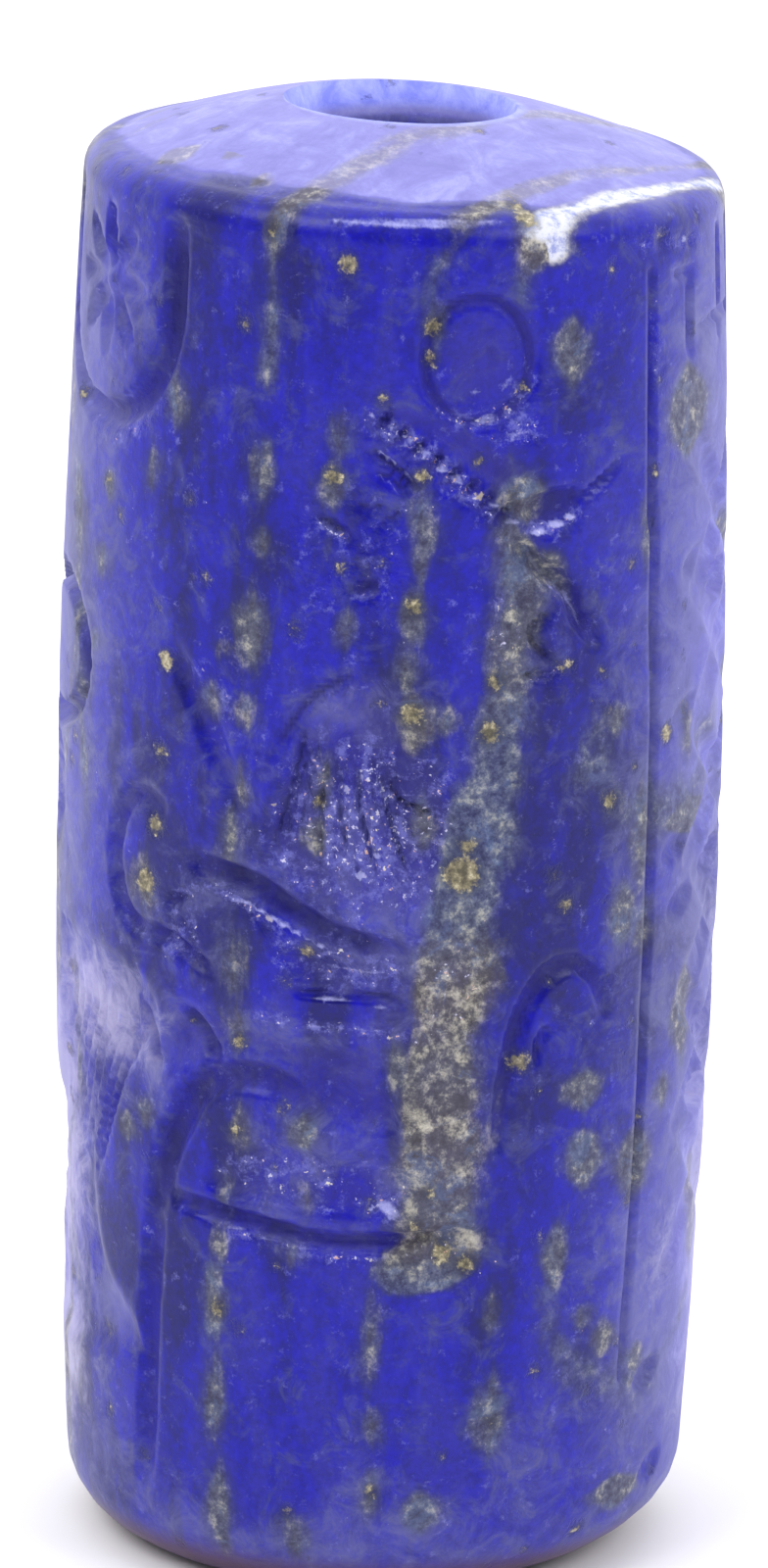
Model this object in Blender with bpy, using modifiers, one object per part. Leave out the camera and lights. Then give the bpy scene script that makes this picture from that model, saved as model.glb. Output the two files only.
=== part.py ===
"""Cylinder seal of lapis lazuli: a drilled, slightly barrel-shaped stone with a carved frieze.

It stands on its underside with its axis along +Z, and the side that shows best faces -Y.
Lengths are in metres. The frieze is drawn in millimetres on a sheet that is the side of
the stone rolled out flat: u runs to the right from the middle of the front, v up from the
underside. The sheet wraps once round the stone, whatever the stone measures.
"""
import math

import bmesh
import bpy
import numpy as np

# The stone
BELLY_DIAMETER = 0.0170
SHOULDER_DIAMETER = 0.0161
FOOT_DIAMETER = 0.0157
SHOULDER_HEIGHT = 0.0361
BELLY_HEIGHT = 0.0200
BARREL_POWER = 1.8
CROWN_RISE = 0.00125
CROWN_POWER = 1.3
CROWN_OUT_OF_SQUARE = 0.00025
SHOULDER_ROUND = 0.0008
FOOT_ROUND = 0.0021
FOOT_WEAR = 0.0008
FOOT_WEAR_HEIGHT = 0.0025

# The bore for its cord or pin
BORE_DIAMETER = 0.0048
MOUTH_DIAMETER = 0.0056
MOUTH_DEPTH = 0.0010
MOUTH_WEAR = 0.0003

# How deep the carver's tools cut
BODY_CUT = 0.00055
WHEEL_CUT = 0.00040
LINE_CUT = 0.00028
FINE_CUT = 0.00018

# The frieze as drawn, in millimetres
SHEET_TURN = 53.4
SHEET_HEIGHT = 36.1
CARVED_LOW = 1.6
CARVED_HIGH = 35.6

# How finely the faces follow the stone
COLUMN_PITCH = 0.00021
ROW_PITCH = 0.00021
ROUND_STEPS = 5
CROWN_STEPS = 5
BORE_STEPS = 8
FACET_BUDGET = 9000

LAPIS_BLUE = (0.022, 0.014, 0.330, 1.0)
LAPIS_ROUGHNESS = 0.30


def clear_scene():
    for old in list(bpy.data.objects):
        bpy.data.objects.remove(old)


def lapis_lazuli():
    material = bpy.data.materials.new("lapis_lazuli")
    material.use_nodes = True
    shader = material.node_tree.nodes["Principled BSDF"]
    shader.inputs["Base Color"].default_value = LAPIS_BLUE
    shader.inputs["Roughness"].default_value = LAPIS_ROUGHNESS
    shader.inputs["Metallic"].default_value = 0.0
    material.diffuse_color = LAPIS_BLUE
    return material


def barrel_radius(z):
    """Radius of the side at height z: fullest at the belly, drawn in towards both ends."""
    if z > BELLY_HEIGHT:
        share = (z - BELLY_HEIGHT) / (SHOULDER_HEIGHT - BELLY_HEIGHT)
        lost = BELLY_DIAMETER - SHOULDER_DIAMETER
    else:
        share = (BELLY_HEIGHT - z) / BELLY_HEIGHT
        lost = BELLY_DIAMETER - FOOT_DIAMETER
    return (BELLY_DIAMETER - lost * share ** BARREL_POWER) / 2


def spaced(start, end, pitch):
    count = max(2, round(abs(end - start) / pitch))
    return [start + (end - start) * i / count for i in range(count + 1)]


def stone_profile():
    """Half section as (radius, height): over the crown, down the side, under, up the bore."""
    bore = BORE_DIAMETER / 2
    mouth = MOUTH_DIAMETER / 2
    shoulder = barrel_radius(SHOULDER_HEIGHT - SHOULDER_ROUND)
    foot = barrel_radius(FOOT_ROUND)
    rim = shoulder - SHOULDER_ROUND
    points = []
    for radius in spaced(mouth, rim, (rim - mouth) / CROWN_STEPS)[:-1]:
        fall = ((radius - mouth) / (rim - mouth)) ** CROWN_POWER
        points.append((radius, SHOULDER_HEIGHT + CROWN_RISE * (1 - fall)))
    for i in range(ROUND_STEPS + 1):
        turn = math.pi / 2 * i / ROUND_STEPS
        across = rim + SHOULDER_ROUND * math.sin(turn)
        points.append((across, SHOULDER_HEIGHT - SHOULDER_ROUND * (1 - math.cos(turn))))
    for z in spaced(SHOULDER_HEIGHT - SHOULDER_ROUND, FOOT_ROUND, ROW_PITCH)[1:-1]:
        points.append((barrel_radius(z), z))
    for i in range(ROUND_STEPS + 1):
        turn = math.pi / 2 * i / ROUND_STEPS
        across = foot - FOOT_ROUND * (1 - math.cos(turn))
        points.append((across, FOOT_ROUND * (1 - math.sin(turn))))
    points.append((mouth, 0.0))
    top = SHOULDER_HEIGHT + CROWN_RISE
    for z in spaced(MOUTH_DEPTH, top - MOUTH_DEPTH, (top - 2 * MOUTH_DEPTH) / BORE_STEPS):
        points.append((bore, z))
    return points


def turned_blank(name):
    """The drilled stone before carving, its half section turned once round the axis."""
    profile = stone_profile()
    mesh = bpy.data.meshes.new(name + "_section")
    count = len(profile)
    edges = [(i, (i + 1) % count) for i in range(count)]
    mesh.from_pydata([(r, 0.0, z) for r, z in profile], edges, [])
    section = bpy.data.objects.new(name + "_section", mesh)
    bpy.context.scene.collection.objects.link(section)
    columns = round(math.pi * BELLY_DIAMETER / COLUMN_PITCH)
    screw = section.modifiers.new("turned", "SCREW")
    screw.axis = "Z"
    screw.angle = 2 * math.pi
    screw.steps = columns
    screw.render_steps = columns
    screw.use_smooth_shade = True
    screw.use_merge_vertices = True
    screw.merge_threshold = 1e-6
    solid = bpy.data.meshes.new_from_object(section.evaluated_get(bpy.context.evaluated_depsgraph_get()))
    bpy.data.objects.remove(section)
    return solid


def smooth_line(points, per_span=6):
    """A smooth line through a few places on the sheet."""
    given = np.array(points, float)
    if len(given) < 3:
        return given
    padded = np.vstack([2 * given[0] - given[1], given, 2 * given[-1] - given[-2]])
    t = np.linspace(0, 1, per_span, endpoint=False)[:, None]
    spans = []
    for a, b, c, d in zip(padded, padded[1:], padded[2:], padded[3:]):
        bend = (2 * a - 5 * b + 4 * c - d) * t ** 2 + (3 * b - a - 3 * c + d) * t ** 3
        spans.append((2 * b + (c - a) * t + bend) / 2)
    return np.vstack(spans + [given[-1:]])


def arc(u, v, across, up, start, end, count=9):
    """Places along an ellipse, its angles in degrees from the right, counted upwards."""
    places = []
    for i in range(count):
        turn = math.radians(start + (end - start) * i / (count - 1))
        places.append((u + across * math.cos(turn), v + up * math.sin(turn)))
    return places


class Frieze:
    """The side of the stone as a flat sheet, and how deep each place of it is cut."""

    def __init__(self, u, v):
        self.u = u
        self.v = v
        self.depth = np.zeros(u.shape)

    def near(self, centre, reach):
        du = (self.u - centre[0] + SHEET_TURN / 2) % SHEET_TURN - SHEET_TURN / 2
        dv = self.v - centre[1]
        found = np.nonzero((np.abs(du) < reach) & (np.abs(dv) < reach))[0]
        return found, du[found], dv[found]

    def cut(self, found, depth):
        self.depth[found] = np.maximum(self.depth[found], depth)

    def stroke(self, points, width, depth, tip=0.25):
        """A groove along a smooth line, round in section, running out at both tips."""
        line = smooth_line(points)
        centre = line.mean(axis=0)
        line = line - centre
        found, du, dv = self.near(centre, np.abs(line).max() + width)
        if not len(found):
            return
        steps = np.linalg.norm(np.diff(line, axis=0), axis=1)
        along = np.concatenate([[0], np.cumsum(steps)])
        nearest = np.full(found.shape, np.inf)
        share = np.zeros(found.shape)
        for start, end, step, before in zip(line, line[1:], steps, along):
            direction = (end - start) / step
            run = np.clip((du - start[0]) * direction[0] + (dv - start[1]) * direction[1], 0, step)
            away = np.hypot(du - start[0] - run * direction[0], dv - start[1] - run * direction[1])
            closer = away < nearest
            nearest = np.where(closer, away, nearest)
            share = np.where(closer, (before + run) / along[-1], share)
        section = np.clip(1 - (nearest / (width / 2)) ** 2, 0, 1) ** 0.8
        ends = np.minimum(share, 1 - share)
        runout = np.clip(0.35 + ends / max(tip, 1e-6), 0, 1)
        self.cut(found, depth * section * runout)

    def scoop(self, u, v, length, breadth, turn, depth):
        """A bowl cut with a round drill, long in the direction turn (degrees)."""
        found, du, dv = self.near((u, v), max(length, breadth) / 2)
        lean = math.radians(turn)
        along = (du * math.cos(lean) + dv * math.sin(lean)) / (length / 2)
        across = (dv * math.cos(lean) - du * math.sin(lean)) / (breadth / 2)
        self.cut(found, depth * np.clip(1 - along ** 2 - across ** 2, 0, 1) ** 0.6)

    def ledge(self, outline, depth, soft):
        """An area sunk evenly inside a closed outline, with a soft edge this wide."""
        edge = smooth_line(outline + outline[:1])
        centre = edge.mean(axis=0)
        edge = edge - centre
        found, du, dv = self.near(centre, np.abs(edge).max())
        inside = np.zeros(found.shape, bool)
        nearest = np.full(found.shape, np.inf)
        for (u0, v0), (u1, v1) in zip(edge, edge[1:]):
            if v0 != v1:
                crosses = (v0 > dv) != (v1 > dv)
                inside ^= crosses & (du < (u1 - u0) * (dv - v0) / (v1 - v0) + u0)
            step = max(math.hypot(u1 - u0, v1 - v0), 1e-9)
            run = np.clip(((du - u0) * (u1 - u0) + (dv - v0) * (v1 - v0)) / step ** 2, 0, 1)
            nearest = np.minimum(nearest, np.hypot(du - u0 - run * (u1 - u0), dv - v0 - run * (v1 - v0)))
        slope = np.clip(nearest / soft, 0, 1)
        self.cut(found, np.where(inside, depth * slope ** 2 * (3 - 2 * slope), 0))

    def pleats(self, first, last, count, width, depth):
        """Strokes spread evenly from one guide line to another."""
        a = np.array(first, float)
        b = np.array(last, float)
        for i in range(count):
            share = i / (count - 1)
            self.stroke(a + (b - a) * share, width, self.under(a, b, share) + depth, tip=0.15)

    def under(self, a, b, share):
        """How deep the ground under a pleat is already, in the middle of its line."""
        middle = ((a + (b - a) * share)[len(a) // 2])
        found, du, dv = self.near(middle, 0.5)
        return float(np.median(self.depth[found])) if len(found) else 0.0


def star_in_crescent(frieze):
    u, v, reach = -9.35, 33.25, 1.85
    for arm in range(8):
        turn = math.radians(90 + 45 * arm)
        middle = (u + 0.55 * reach * math.cos(turn), v + 0.55 * reach * math.sin(turn))
        depth = LINE_CUT if arm in (0, 3, 5) else FINE_CUT
        frieze.scoop(*middle, 0.95 * reach, 0.62, math.degrees(turn), depth)
    horn = 2.95
    moon = [(u + horn, v + 1.8)] + arc(u, v - 0.3, horn, horn, 0, -180) + [(u - horn, v + 1.8)]
    frieze.stroke(moon, 0.8, WHEEL_CUT, tip=0.1)


def sun_disc(frieze):
    u, v, radius, rise = 2.05, 32.5, 1.4, 1.55
    frieze.scoop(u, v, 2.1 * radius, 2.1 * rise, 0, FINE_CUT)
    frieze.stroke(arc(u, v, radius, rise, 0, 360, 17), 0.45, LINE_CUT, tip=0)
    frieze.scoop(u + 0.35, v + 0.2, 0.5, 0.5, 0, LINE_CUT)


def crested_beast(frieze):
    """The leaping beast under the disc: its notched crest, jaw lines, forelegs and claws."""
    neck = [(0.0, 31.7), (2.2, 30.9), (3.9, 29.6), (3.2, 28.9), (2.6, 28.8), (1.0, 30.0),
            (-0.5, 31.0)]
    frieze.ledge(neck, LINE_CUT, 0.8)
    for i in range(8):
        share = i / 7
        u, v = -0.45 + 3.2 * share, 30.9 - 2.3 * share
        frieze.stroke([(u - 0.15, v - 0.2), (u + 0.35, v + 0.3)], 0.36, WHEEL_CUT, tip=0.6)
    frieze.stroke([(-0.65, 30.2), (0.05, 29.75), (0.56, 29.25)], 0.26, LINE_CUT)
    frieze.stroke([(-0.56, 29.7), (-0.1, 29.5), (0.2, 29.2)], 0.22, FINE_CUT)
    frieze.stroke([(-1.0, 28.85), (-0.55, 28.76), (-0.28, 28.95)], 0.24, FINE_CUT)
    frieze.stroke([(-0.46, 28.4), (-0.1, 28.55), (0.1, 28.8)], 0.24, FINE_CUT)
    frieze.stroke([(-2.0, 28.45), (-1.6, 28.3), (-1.15, 28.05)], 0.36, LINE_CUT)
    frieze.stroke([(-1.2, 27.35), (-0.8, 27.25), (-0.45, 27.25)], 0.25, FINE_CUT)
    frieze.scoop(-0.68, 26.8, 0.85, 0.5, 20, LINE_CUT)
    frieze.scoop(4.1, 28.75, 2.0, 0.85, 12, WHEEL_CUT)
    frieze.stroke([(4.9, 28.85), (5.5, 29.2), (6.1, 29.65)], 0.30, FINE_CUT)
    frieze.stroke([(2.9, 28.0), (3.8, 27.2), (4.6, 26.6), (5.0, 25.8), (5.4, 25.3)], 0.70, WHEEL_CUT)
    frieze.stroke([(4.1, 26.1), (3.55, 25.5), (4.3, 24.7)], 0.32, LINE_CUT)
    frieze.stroke([(3.4, 24.5), (4.2, 24.55)], 0.28, LINE_CUT)
    frieze.scoop(2.9, 27.2, 1.2, 2.6, 8, FINE_CUT)


def fleeced_body(frieze):
    """The shaggy bell-shaped body in the middle and the belt of deep cutting under it."""
    bell = [(-0.9, 24.6), (-1.9, 24.0), (-2.6, 23.1), (-3.1, 21.6), (-3.3, 19.8), (-2.4, 18.6),
            (-0.4, 17.9), (1.3, 18.4), (2.0, 19.8), (1.9, 21.2), (1.2, 22.6), (0.4, 23.8), (-0.2, 24.5)]
    frieze.ledge(bell, LINE_CUT, 0.8)
    frieze.stroke([(-0.9, 24.6), (-1.9, 24.0), (-2.6, 23.1), (-2.9, 22.4)], 0.4, LINE_CUT)
    for i in range(6):
        share = i / 5
        top = (-2.1 + 2.3 * share, 23.3 - 0.7 * share)
        middle = (-2.6 + 2.9 * share, 21.4)
        foot = (-3.0 + 4.4 * share, 19.9 - 1.3 * math.sin(math.pi * share))
        frieze.stroke([top, middle, foot], 0.48, LINE_CUT + FINE_CUT, tip=0.4)
    belt = [(-4.9, 19.25), (-3.5, 19.0), (-2.3, 18.4), (-1.2, 17.85), (0.3, 17.5)]
    frieze.stroke(belt, 0.75, BODY_CUT)
    frieze.scoop(-1.5, 16.9, 2.6, 0.9, -15, LINE_CUT)
    frieze.stroke([(-5.9, 24.6), (-5.1, 23.3), (-4.5, 22.3), (-3.9, 21.2)], 0.75, FINE_CUT)
    frieze.stroke([(-4.9, 23.9), (-4.5, 22.5), (-3.9, 21.0)], 0.35, FINE_CUT)


def looped_tail(frieze):
    frieze.stroke(arc(-6.85, 19.0, 1.1, 1.75, 60, 285, 9), 0.65, LINE_CUT)
    frieze.stroke([(-6.7, 17.35), (-5.7, 17.1), (-4.6, 16.6)], 0.45, LINE_CUT)
    frieze.stroke([(-6.0, 18.1), (-5.4, 18.4)], 0.4, LINE_CUT)


def crouching_beast(frieze):
    """The lower beast: its long body, hind leg, the belly line and the raised foreleg."""
    body = [(-6.6, 15.9), (-4.2, 15.9), (-2.0, 15.5), (0.2, 15.6), (0.5, 14.0), (-0.6, 12.9), (-1.8, 13.2),
            (-2.8, 13.9), (-3.9, 14.2), (-5.2, 13.4), (-6.4, 13.8)]
    frieze.ledge(body, WHEEL_CUT, 1.4)
    frieze.stroke([(-5.4, 15.4), (-4.85, 14.8), (-4.4, 14.3)], 0.6, BODY_CUT)
    arch = [(-1.4, 13.2), (-2.6, 13.9), (-3.7, 14.0), (-4.8, 13.5), (-5.5, 12.4), (-6.0, 11.3), (-6.2, 10.3)]
    frieze.stroke(arch, 0.9, WHEEL_CUT)
    frieze.stroke([(-7.1, 15.3), (-6.6, 14.6), (-6.3, 13.7)], 0.5, WHEEL_CUT)
    frieze.stroke([(-2.2, 16.35), (-0.95, 16.45), (0.5, 16.25)], 0.28, LINE_CUT)
    frieze.scoop(-1.0, 13.9, 3.4, 1.5, -35, WHEEL_CUT)
    flank = [(-4.4, 12.3), (-2.2, 12.4), (0.9, 11.8), (0.9, 10.6), (-1.6, 10.5), (-4.6, 10.7)]
    frieze.ledge(flank, FINE_CUT, 0.4)
    belly = [(-5.6, 10.45), (-4.2, 10.25), (-2.6, 10.05), (-1.3, 9.85), (0.1, 9.9), (2.7, 10.05)]
    frieze.stroke(belly, 0.58, WHEEL_CUT)
    foreleg = [(3.05, 12.4), (3.2, 14.0), (3.55, 15.6), (4.2, 16.7), (5.05, 16.95), (5.8, 16.4),
               (6.1, 15.6)]
    frieze.stroke(foreleg, 0.6, LINE_CUT)
    frieze.stroke([(4.0, 14.4), (4.2, 15.2), (4.6, 15.3)], 0.3, FINE_CUT)


def pleated_skirt(frieze):
    """The wide skirt at the left, its folds sweeping down and outwards from the belt."""
    skirt = [(-11.6, 16.4), (-9.0, 16.7), (-6.6, 16.05), (-5.9, 15.0), (-6.4, 13.7), (-8.1, 12.6),
             (-8.8, 10.8), (-8.4, 8.3), (-6.8, 6.6), (-7.2, 5.5), (-13.6, 5.4), (-14.0, 9.0), (-12.0, 13.0)]
    frieze.ledge(skirt, FINE_CUT, 0.7)
    for i in range(9):
        share = i / 8
        start = (-11.2 + 4.0 * share, 16.3 - 0.2 * share)
        knee = (-10.6 + 3.9 * share, 14.8)
        sweep = (-11.2 + 3.6 * share, 13.0 + 0.4 * share)
        end = (-11.6 + 2.6 * share, 9.6 + 0.6 * share)
        frieze.stroke([start, knee, sweep, end], 0.45, LINE_CUT, tip=0.4)
    worn_hollow = [(-16.0, 12.6), (-13.0, 12.8), (-11.0, 11.6), (-11.2, 9.0), (-13.0, 7.6), (-16.0, 7.8)]
    frieze.ledge(worn_hollow, LINE_CUT, 2.0)
    frieze.scoop(-12.4, 19.6, 3.2, 2.4, 80, LINE_CUT)
    frieze.stroke(arc(-12.0, 23.5, 2.25, 1.85, 0, 360, 17), 0.7, WHEEL_CUT, tip=0)
    frieze.stroke([(-6.3, 9.8), (-6.55, 7.4), (-6.7, 4.8), (-6.9, 2.7)], 0.75, LINE_CUT)


def framed_plait(frieze):
    """The band behind the upright line at the right: short strokes over a plaited stem."""
    left, right = 7.4, 15.2
    frame_line = [(left - 0.1, 34.4), (left - 0.1, 30.0), (left + 0.1, 25.0), (left + 0.15, 16.0),
                  (left + 0.1, 5.4)]
    frieze.stroke(frame_line, 0.36, LINE_CUT, 0.1)
    frieze.stroke([(right, 34.5), (right, 5.4)], 0.38, LINE_CUT, 0.1)
    frieze.stroke([(8.4, 34.15), (9.4, 34.1)], 0.45, FINE_CUT)
    frieze.stroke([(9.1, 33.9), (9.1, 32.1)], 0.40, LINE_CUT, tip=0.6)
    frieze.stroke([(9.6, 32.6), (12.4, 32.7)], 0.40, FINE_CUT)
    for u in (11.2, 12.6, 13.9):
        frieze.stroke([(u, 34.9), (u + 0.1, 32.2)], 0.42, LINE_CUT, tip=0.5)
    pitch, middle, half = 3.5, 11.5, 1.9
    for i in range(6):
        low = 8.4 + pitch * i
        for side in (-1, 1):
            top = low + pitch
            rail = [(middle - side * half, low), (middle, (low + top) / 2), (middle + side * half, top)]
            frieze.stroke(rail, 1.1, LINE_CUT if i % 2 else FINE_CUT, tip=0.5)
    for pit in (25.8, 18.5, 12.2):
        frieze.scoop(middle - 0.3, pit, 1.7, 1.0, 10, WHEEL_CUT)
    for u, v in ((9.4, 26.6), (9.0, 22.8), (8.7, 19.3), (9.0, 17.8), (9.6, 8.2), (8.7, 5.3), (9.3, 2.6)):
        frieze.scoop(u, v, 1.4, 0.7, 25, FINE_CUT)


def robed_figure(frieze, u, facing):
    """A standing figure in a long pleated robe with one hand raised, facing left or right."""
    frieze.scoop(u, 30.9, 2.6, 2.1, 90, WHEEL_CUT)
    frieze.stroke([(u + facing * 0.7, 30.9), (u + facing * 1.25, 30.6)], 0.5, LINE_CUT, tip=0.6)
    frieze.stroke([(u - facing * 0.9, 32.3), (u, 32.9), (u + facing * 0.9, 32.4)], 0.6, WHEEL_CUT)
    frieze.stroke([(u - facing * 1.1, 31.0), (u - facing * 1.3, 29.6)], 0.6, LINE_CUT)
    frieze.scoop(u, 27.0, 3.6, 4.6, 90, BODY_CUT)
    raised_arm = [(u + facing * 1.4, 28.0), (u + facing * 2.7, 27.0), (u + facing * 3.2, 28.9)]
    frieze.stroke(raised_arm, 0.65, WHEEL_CUT)
    other_arm = [(u + facing * 1.2, 26.8), (u + facing * 2.2, 25.2), (u + facing * 2.9, 25.6)]
    frieze.stroke(other_arm, 0.60, WHEEL_CUT)
    robe = [(u - 1.5, 25.2), (u + 1.5, 25.2), (u + 2.1, 16.0), (u + 2.5, 7.0), (u, 6.5),
            (u - 2.5, 7.0), (u - 2.1, 16.0)]
    frieze.ledge(robe, WHEEL_CUT, 0.7)
    first, last = [(u - 1.2, 24.6), (u - 1.9, 7.4)], [(u + 1.2, 24.6), (u + 1.9, 7.4)]
    frieze.pleats(first, last, 6, 0.5, FINE_CUT)
    for foot in (-0.9, 1.0):
        frieze.scoop(u + foot + facing * 0.5, 5.6, 2.0, 0.9, 0, WHEEL_CUT)


def palm_tree(frieze, u):
    frieze.stroke([(u, 6.0), (u + 0.15, 15.0), (u, 25.5)], 0.8, WHEEL_CUT, tip=0.05)
    for i in range(7):
        v = 7.5 + 2.5 * i
        frieze.stroke([(u - 0.7, v - 0.3), (u, v + 0.2), (u + 0.7, v - 0.3)], 0.4, LINE_CUT)
    for side in (-1, 1):
        for reach, rise, fall in ((3.0, 27.8, 23.4), (2.8, 29.8, 26.2), (2.1, 31.6, 29.2)):
            frond = [(u, 25.6), (u + side * reach * 0.6, rise), (u + side * reach, fall)]
            frieze.stroke(frond, 0.6, WHEEL_CUT)
    frieze.stroke([(u, 25.6), (u, 32.6)], 0.6, WHEEL_CUT)


def carve(u, v):
    """Depth of the whole frieze, in metres, at each place of the sheet."""
    frieze = Frieze(u, v)
    star_in_crescent(frieze)
    sun_disc(frieze)
    crested_beast(frieze)
    fleeced_body(frieze)
    looped_tail(frieze)
    crouching_beast(frieze)
    pleated_skirt(frieze)
    framed_plait(frieze)
    robed_figure(frieze, 19.4, -1)
    palm_tree(frieze, 25.2)
    robed_figure(frieze, -21.6, 1)
    return frieze.depth * np.clip(v - CARVED_LOW, 0, 1) * np.clip((CARVED_HIGH - v) / 0.6, 0, 1)


def carve_stone(mesh):
    """Cut the frieze into the turned stone, and wear its foot, crown and the bore's mouth."""
    flat = np.empty(len(mesh.vertices) * 3, np.float32)
    mesh.vertices.foreach_get("co", flat)
    x, y, z = flat.reshape(-1, 3).astype(float).T
    radius = np.hypot(x, y)
    u = np.arctan2(x, -y) / (2 * math.pi) * SHEET_TURN
    v = z / SHOULDER_HEIGHT * SHEET_HEIGHT
    side = radius > FOOT_DIAMETER / 2 - FOOT_ROUND
    depth = np.zeros(len(x))
    depth[side] = carve(u[side], v[side])
    low = np.clip(1 - z / FOOT_WEAR_HEIGHT, 0, 1) * side
    wear = FOOT_WEAR * low ** 2 * np.clip(x / radius, 0, 1)
    shrink = (radius - depth - wear) / radius
    x, y = x * shrink, y * shrink
    upper = np.clip(z / SHOULDER_HEIGHT * 5 - 4, 0, 1)
    z = z - CROWN_OUT_OF_SQUARE * x / (SHOULDER_DIAMETER / 2) * upper
    mouth = np.clip((z - SHOULDER_HEIGHT) / CROWN_RISE, 0, 1) * (radius < MOUTH_DIAMETER / 2 + 1e-5)
    x = x - MOUTH_WEAR * mouth * np.clip(-x / (MOUTH_DIAMETER / 2), 0, 1)
    mesh.vertices.foreach_set("co", np.stack([x, y, z], -1).astype(np.float32).ravel())
    mesh.update()


def make_seal():
    mesh = turned_blank("seal_stone")
    mesh.name = "seal_stone"
    carve_stone(mesh)
    work = bmesh.new()
    work.from_mesh(mesh)
    bmesh.ops.triangulate(work, faces=work.faces[:])
    triangles = len(work.faces)
    work.to_mesh(mesh)
    work.free()
    mesh.shade_smooth()
    mesh.set_sharp_from_angle(angle=math.radians(50))
    mesh.materials.append(lapis_lazuli())
    seal = bpy.data.objects.new("seal_stone", mesh)
    collection = bpy.data.collections.new("cylinder_seal")
    bpy.context.scene.collection.children.link(collection)
    collection.objects.link(seal)
    facets = seal.modifiers.new("facets", "DECIMATE")
    facets.decimate_type = "COLLAPSE"
    facets.ratio = FACET_BUDGET / triangles
    return seal


def main():
    clear_scene()
    make_seal()


if __name__ == "__main__":
    main()
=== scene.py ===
"""A cylinder seal of lapis lazuli, standing on a pale table under soft light.

The stone is turned, drilled and carved again here with the sizes of its solid, more finely,
and its veins, pyrite grains and worn cuts are laid out on the mesh for the material to read.
Sizes are in millimetres unless a name says metres.
"""
import math

import bpy
import numpy as np
from mathutils import Matrix, Vector, noise


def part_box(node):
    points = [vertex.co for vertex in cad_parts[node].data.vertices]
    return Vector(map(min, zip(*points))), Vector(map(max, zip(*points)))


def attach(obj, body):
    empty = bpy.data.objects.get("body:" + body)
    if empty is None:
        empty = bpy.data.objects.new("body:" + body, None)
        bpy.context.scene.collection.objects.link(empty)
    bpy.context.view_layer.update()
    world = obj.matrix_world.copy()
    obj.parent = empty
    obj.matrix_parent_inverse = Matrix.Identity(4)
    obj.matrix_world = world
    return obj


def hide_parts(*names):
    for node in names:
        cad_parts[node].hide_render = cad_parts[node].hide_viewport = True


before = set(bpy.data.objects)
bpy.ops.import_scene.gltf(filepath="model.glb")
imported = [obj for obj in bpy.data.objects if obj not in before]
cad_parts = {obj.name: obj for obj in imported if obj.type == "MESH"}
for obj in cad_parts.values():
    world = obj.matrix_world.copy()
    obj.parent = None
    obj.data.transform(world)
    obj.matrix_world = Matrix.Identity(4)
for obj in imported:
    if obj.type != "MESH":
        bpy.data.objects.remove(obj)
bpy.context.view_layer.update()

METRE = 0.001

# The stone, as its solid has it
stone_low, stone_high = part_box("seal_stone")
BELLY_DIAMETER = (stone_high[0] - stone_low[0]) / METRE
STONE_HEIGHT = (stone_high[2] - stone_low[2]) / METRE
SHOULDER_DIAMETER = 16.1
FOOT_DIAMETER = 15.7
CROWN_RISE = 1.25
CROWN_POWER = 1.3
CROWN_OUT_OF_SQUARE = 0.25
BELLY_HEIGHT = 20.0
BARREL_POWER = 1.8
SHOULDER_ROUND = 0.8
FOOT_ROUND = 2.1
FOOT_WEAR = 0.8
FOOT_WEAR_HEIGHT = 2.5
BORE_DIAMETER = 4.8
MOUTH_DIAMETER = 5.6
MOUTH_DEPTH = 1.0
MOUTH_WEAR = 0.3
CREASE_RADIUS = SHOULDER_DIAMETER / 2 - SHOULDER_ROUND
SHOULDER_HEIGHT = 36.1

# How deep the carver's tools cut
BODY_CUT = 0.55
WHEEL_CUT = 0.40
LINE_CUT = 0.28
FINE_CUT = 0.18

# The frieze: the side rolled out flat, u to the right from the middle of the front, v up
SHEET_TURN = 53.4
CARVED_LOW = 1.6
CARVED_HIGH = 35.6

# The mesh is finer on the front than behind
FRONT_PITCH = 0.12
BACK_PITCH = 0.26
FRONT_HALF_TURN = 100.0
ROW_PITCH = 0.15
CROWN_PITCH = 0.30
BORE_PITCH = 3.0

# Rows of each rounded edge, and how near counts as touching
EDGE_ROWS = 8
NEAR = 0.02

# A place off the sheet, and how far outside all veins the stone can be
OFF_SHEET = 99.0
FAR_OUTSIDE = -3.0

# Lumps of the surface, as height, size and seed: the side's swell, the torn ground, which is also
# lower by CHIP_LOSS, and the wandering edge of the crown's powder
SWELL = [(0.022, 3.0, 1), (0.010, 0.9, 2)]
CHIPS = [(0.10, 0.42, 3), (0.06, 0.22, 4)]
CHIP_LOSS = 0.05
CREASE_WANDER = [(0.24, 1.3, 5)]

# The crown's powder ends within CREASE_SOFT of the crease where that is sharp, which is on the
# stretch of the front with this middle and half width
CREASE_SOFT = 0.35
SHARP_CREASE = (0.8, 4.6)

# Full wear takes this share of a cut's matt ground and painted shade, and of the painted highlight on its
# lip
CUT_WEAR = 0.75
LIP_WEAR = 0.85

# The stone's bedding: its veins are upright sheets that run this many degrees off the Y axis,
# and turn CROWN_TWIST further from this height up, over this rise
BEDDING_TURN = 34.0
CROWN_TWIST = 8.0
TWIST_FROM = 35.6
TWIST_RISE = 0.7


# Carving

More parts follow.
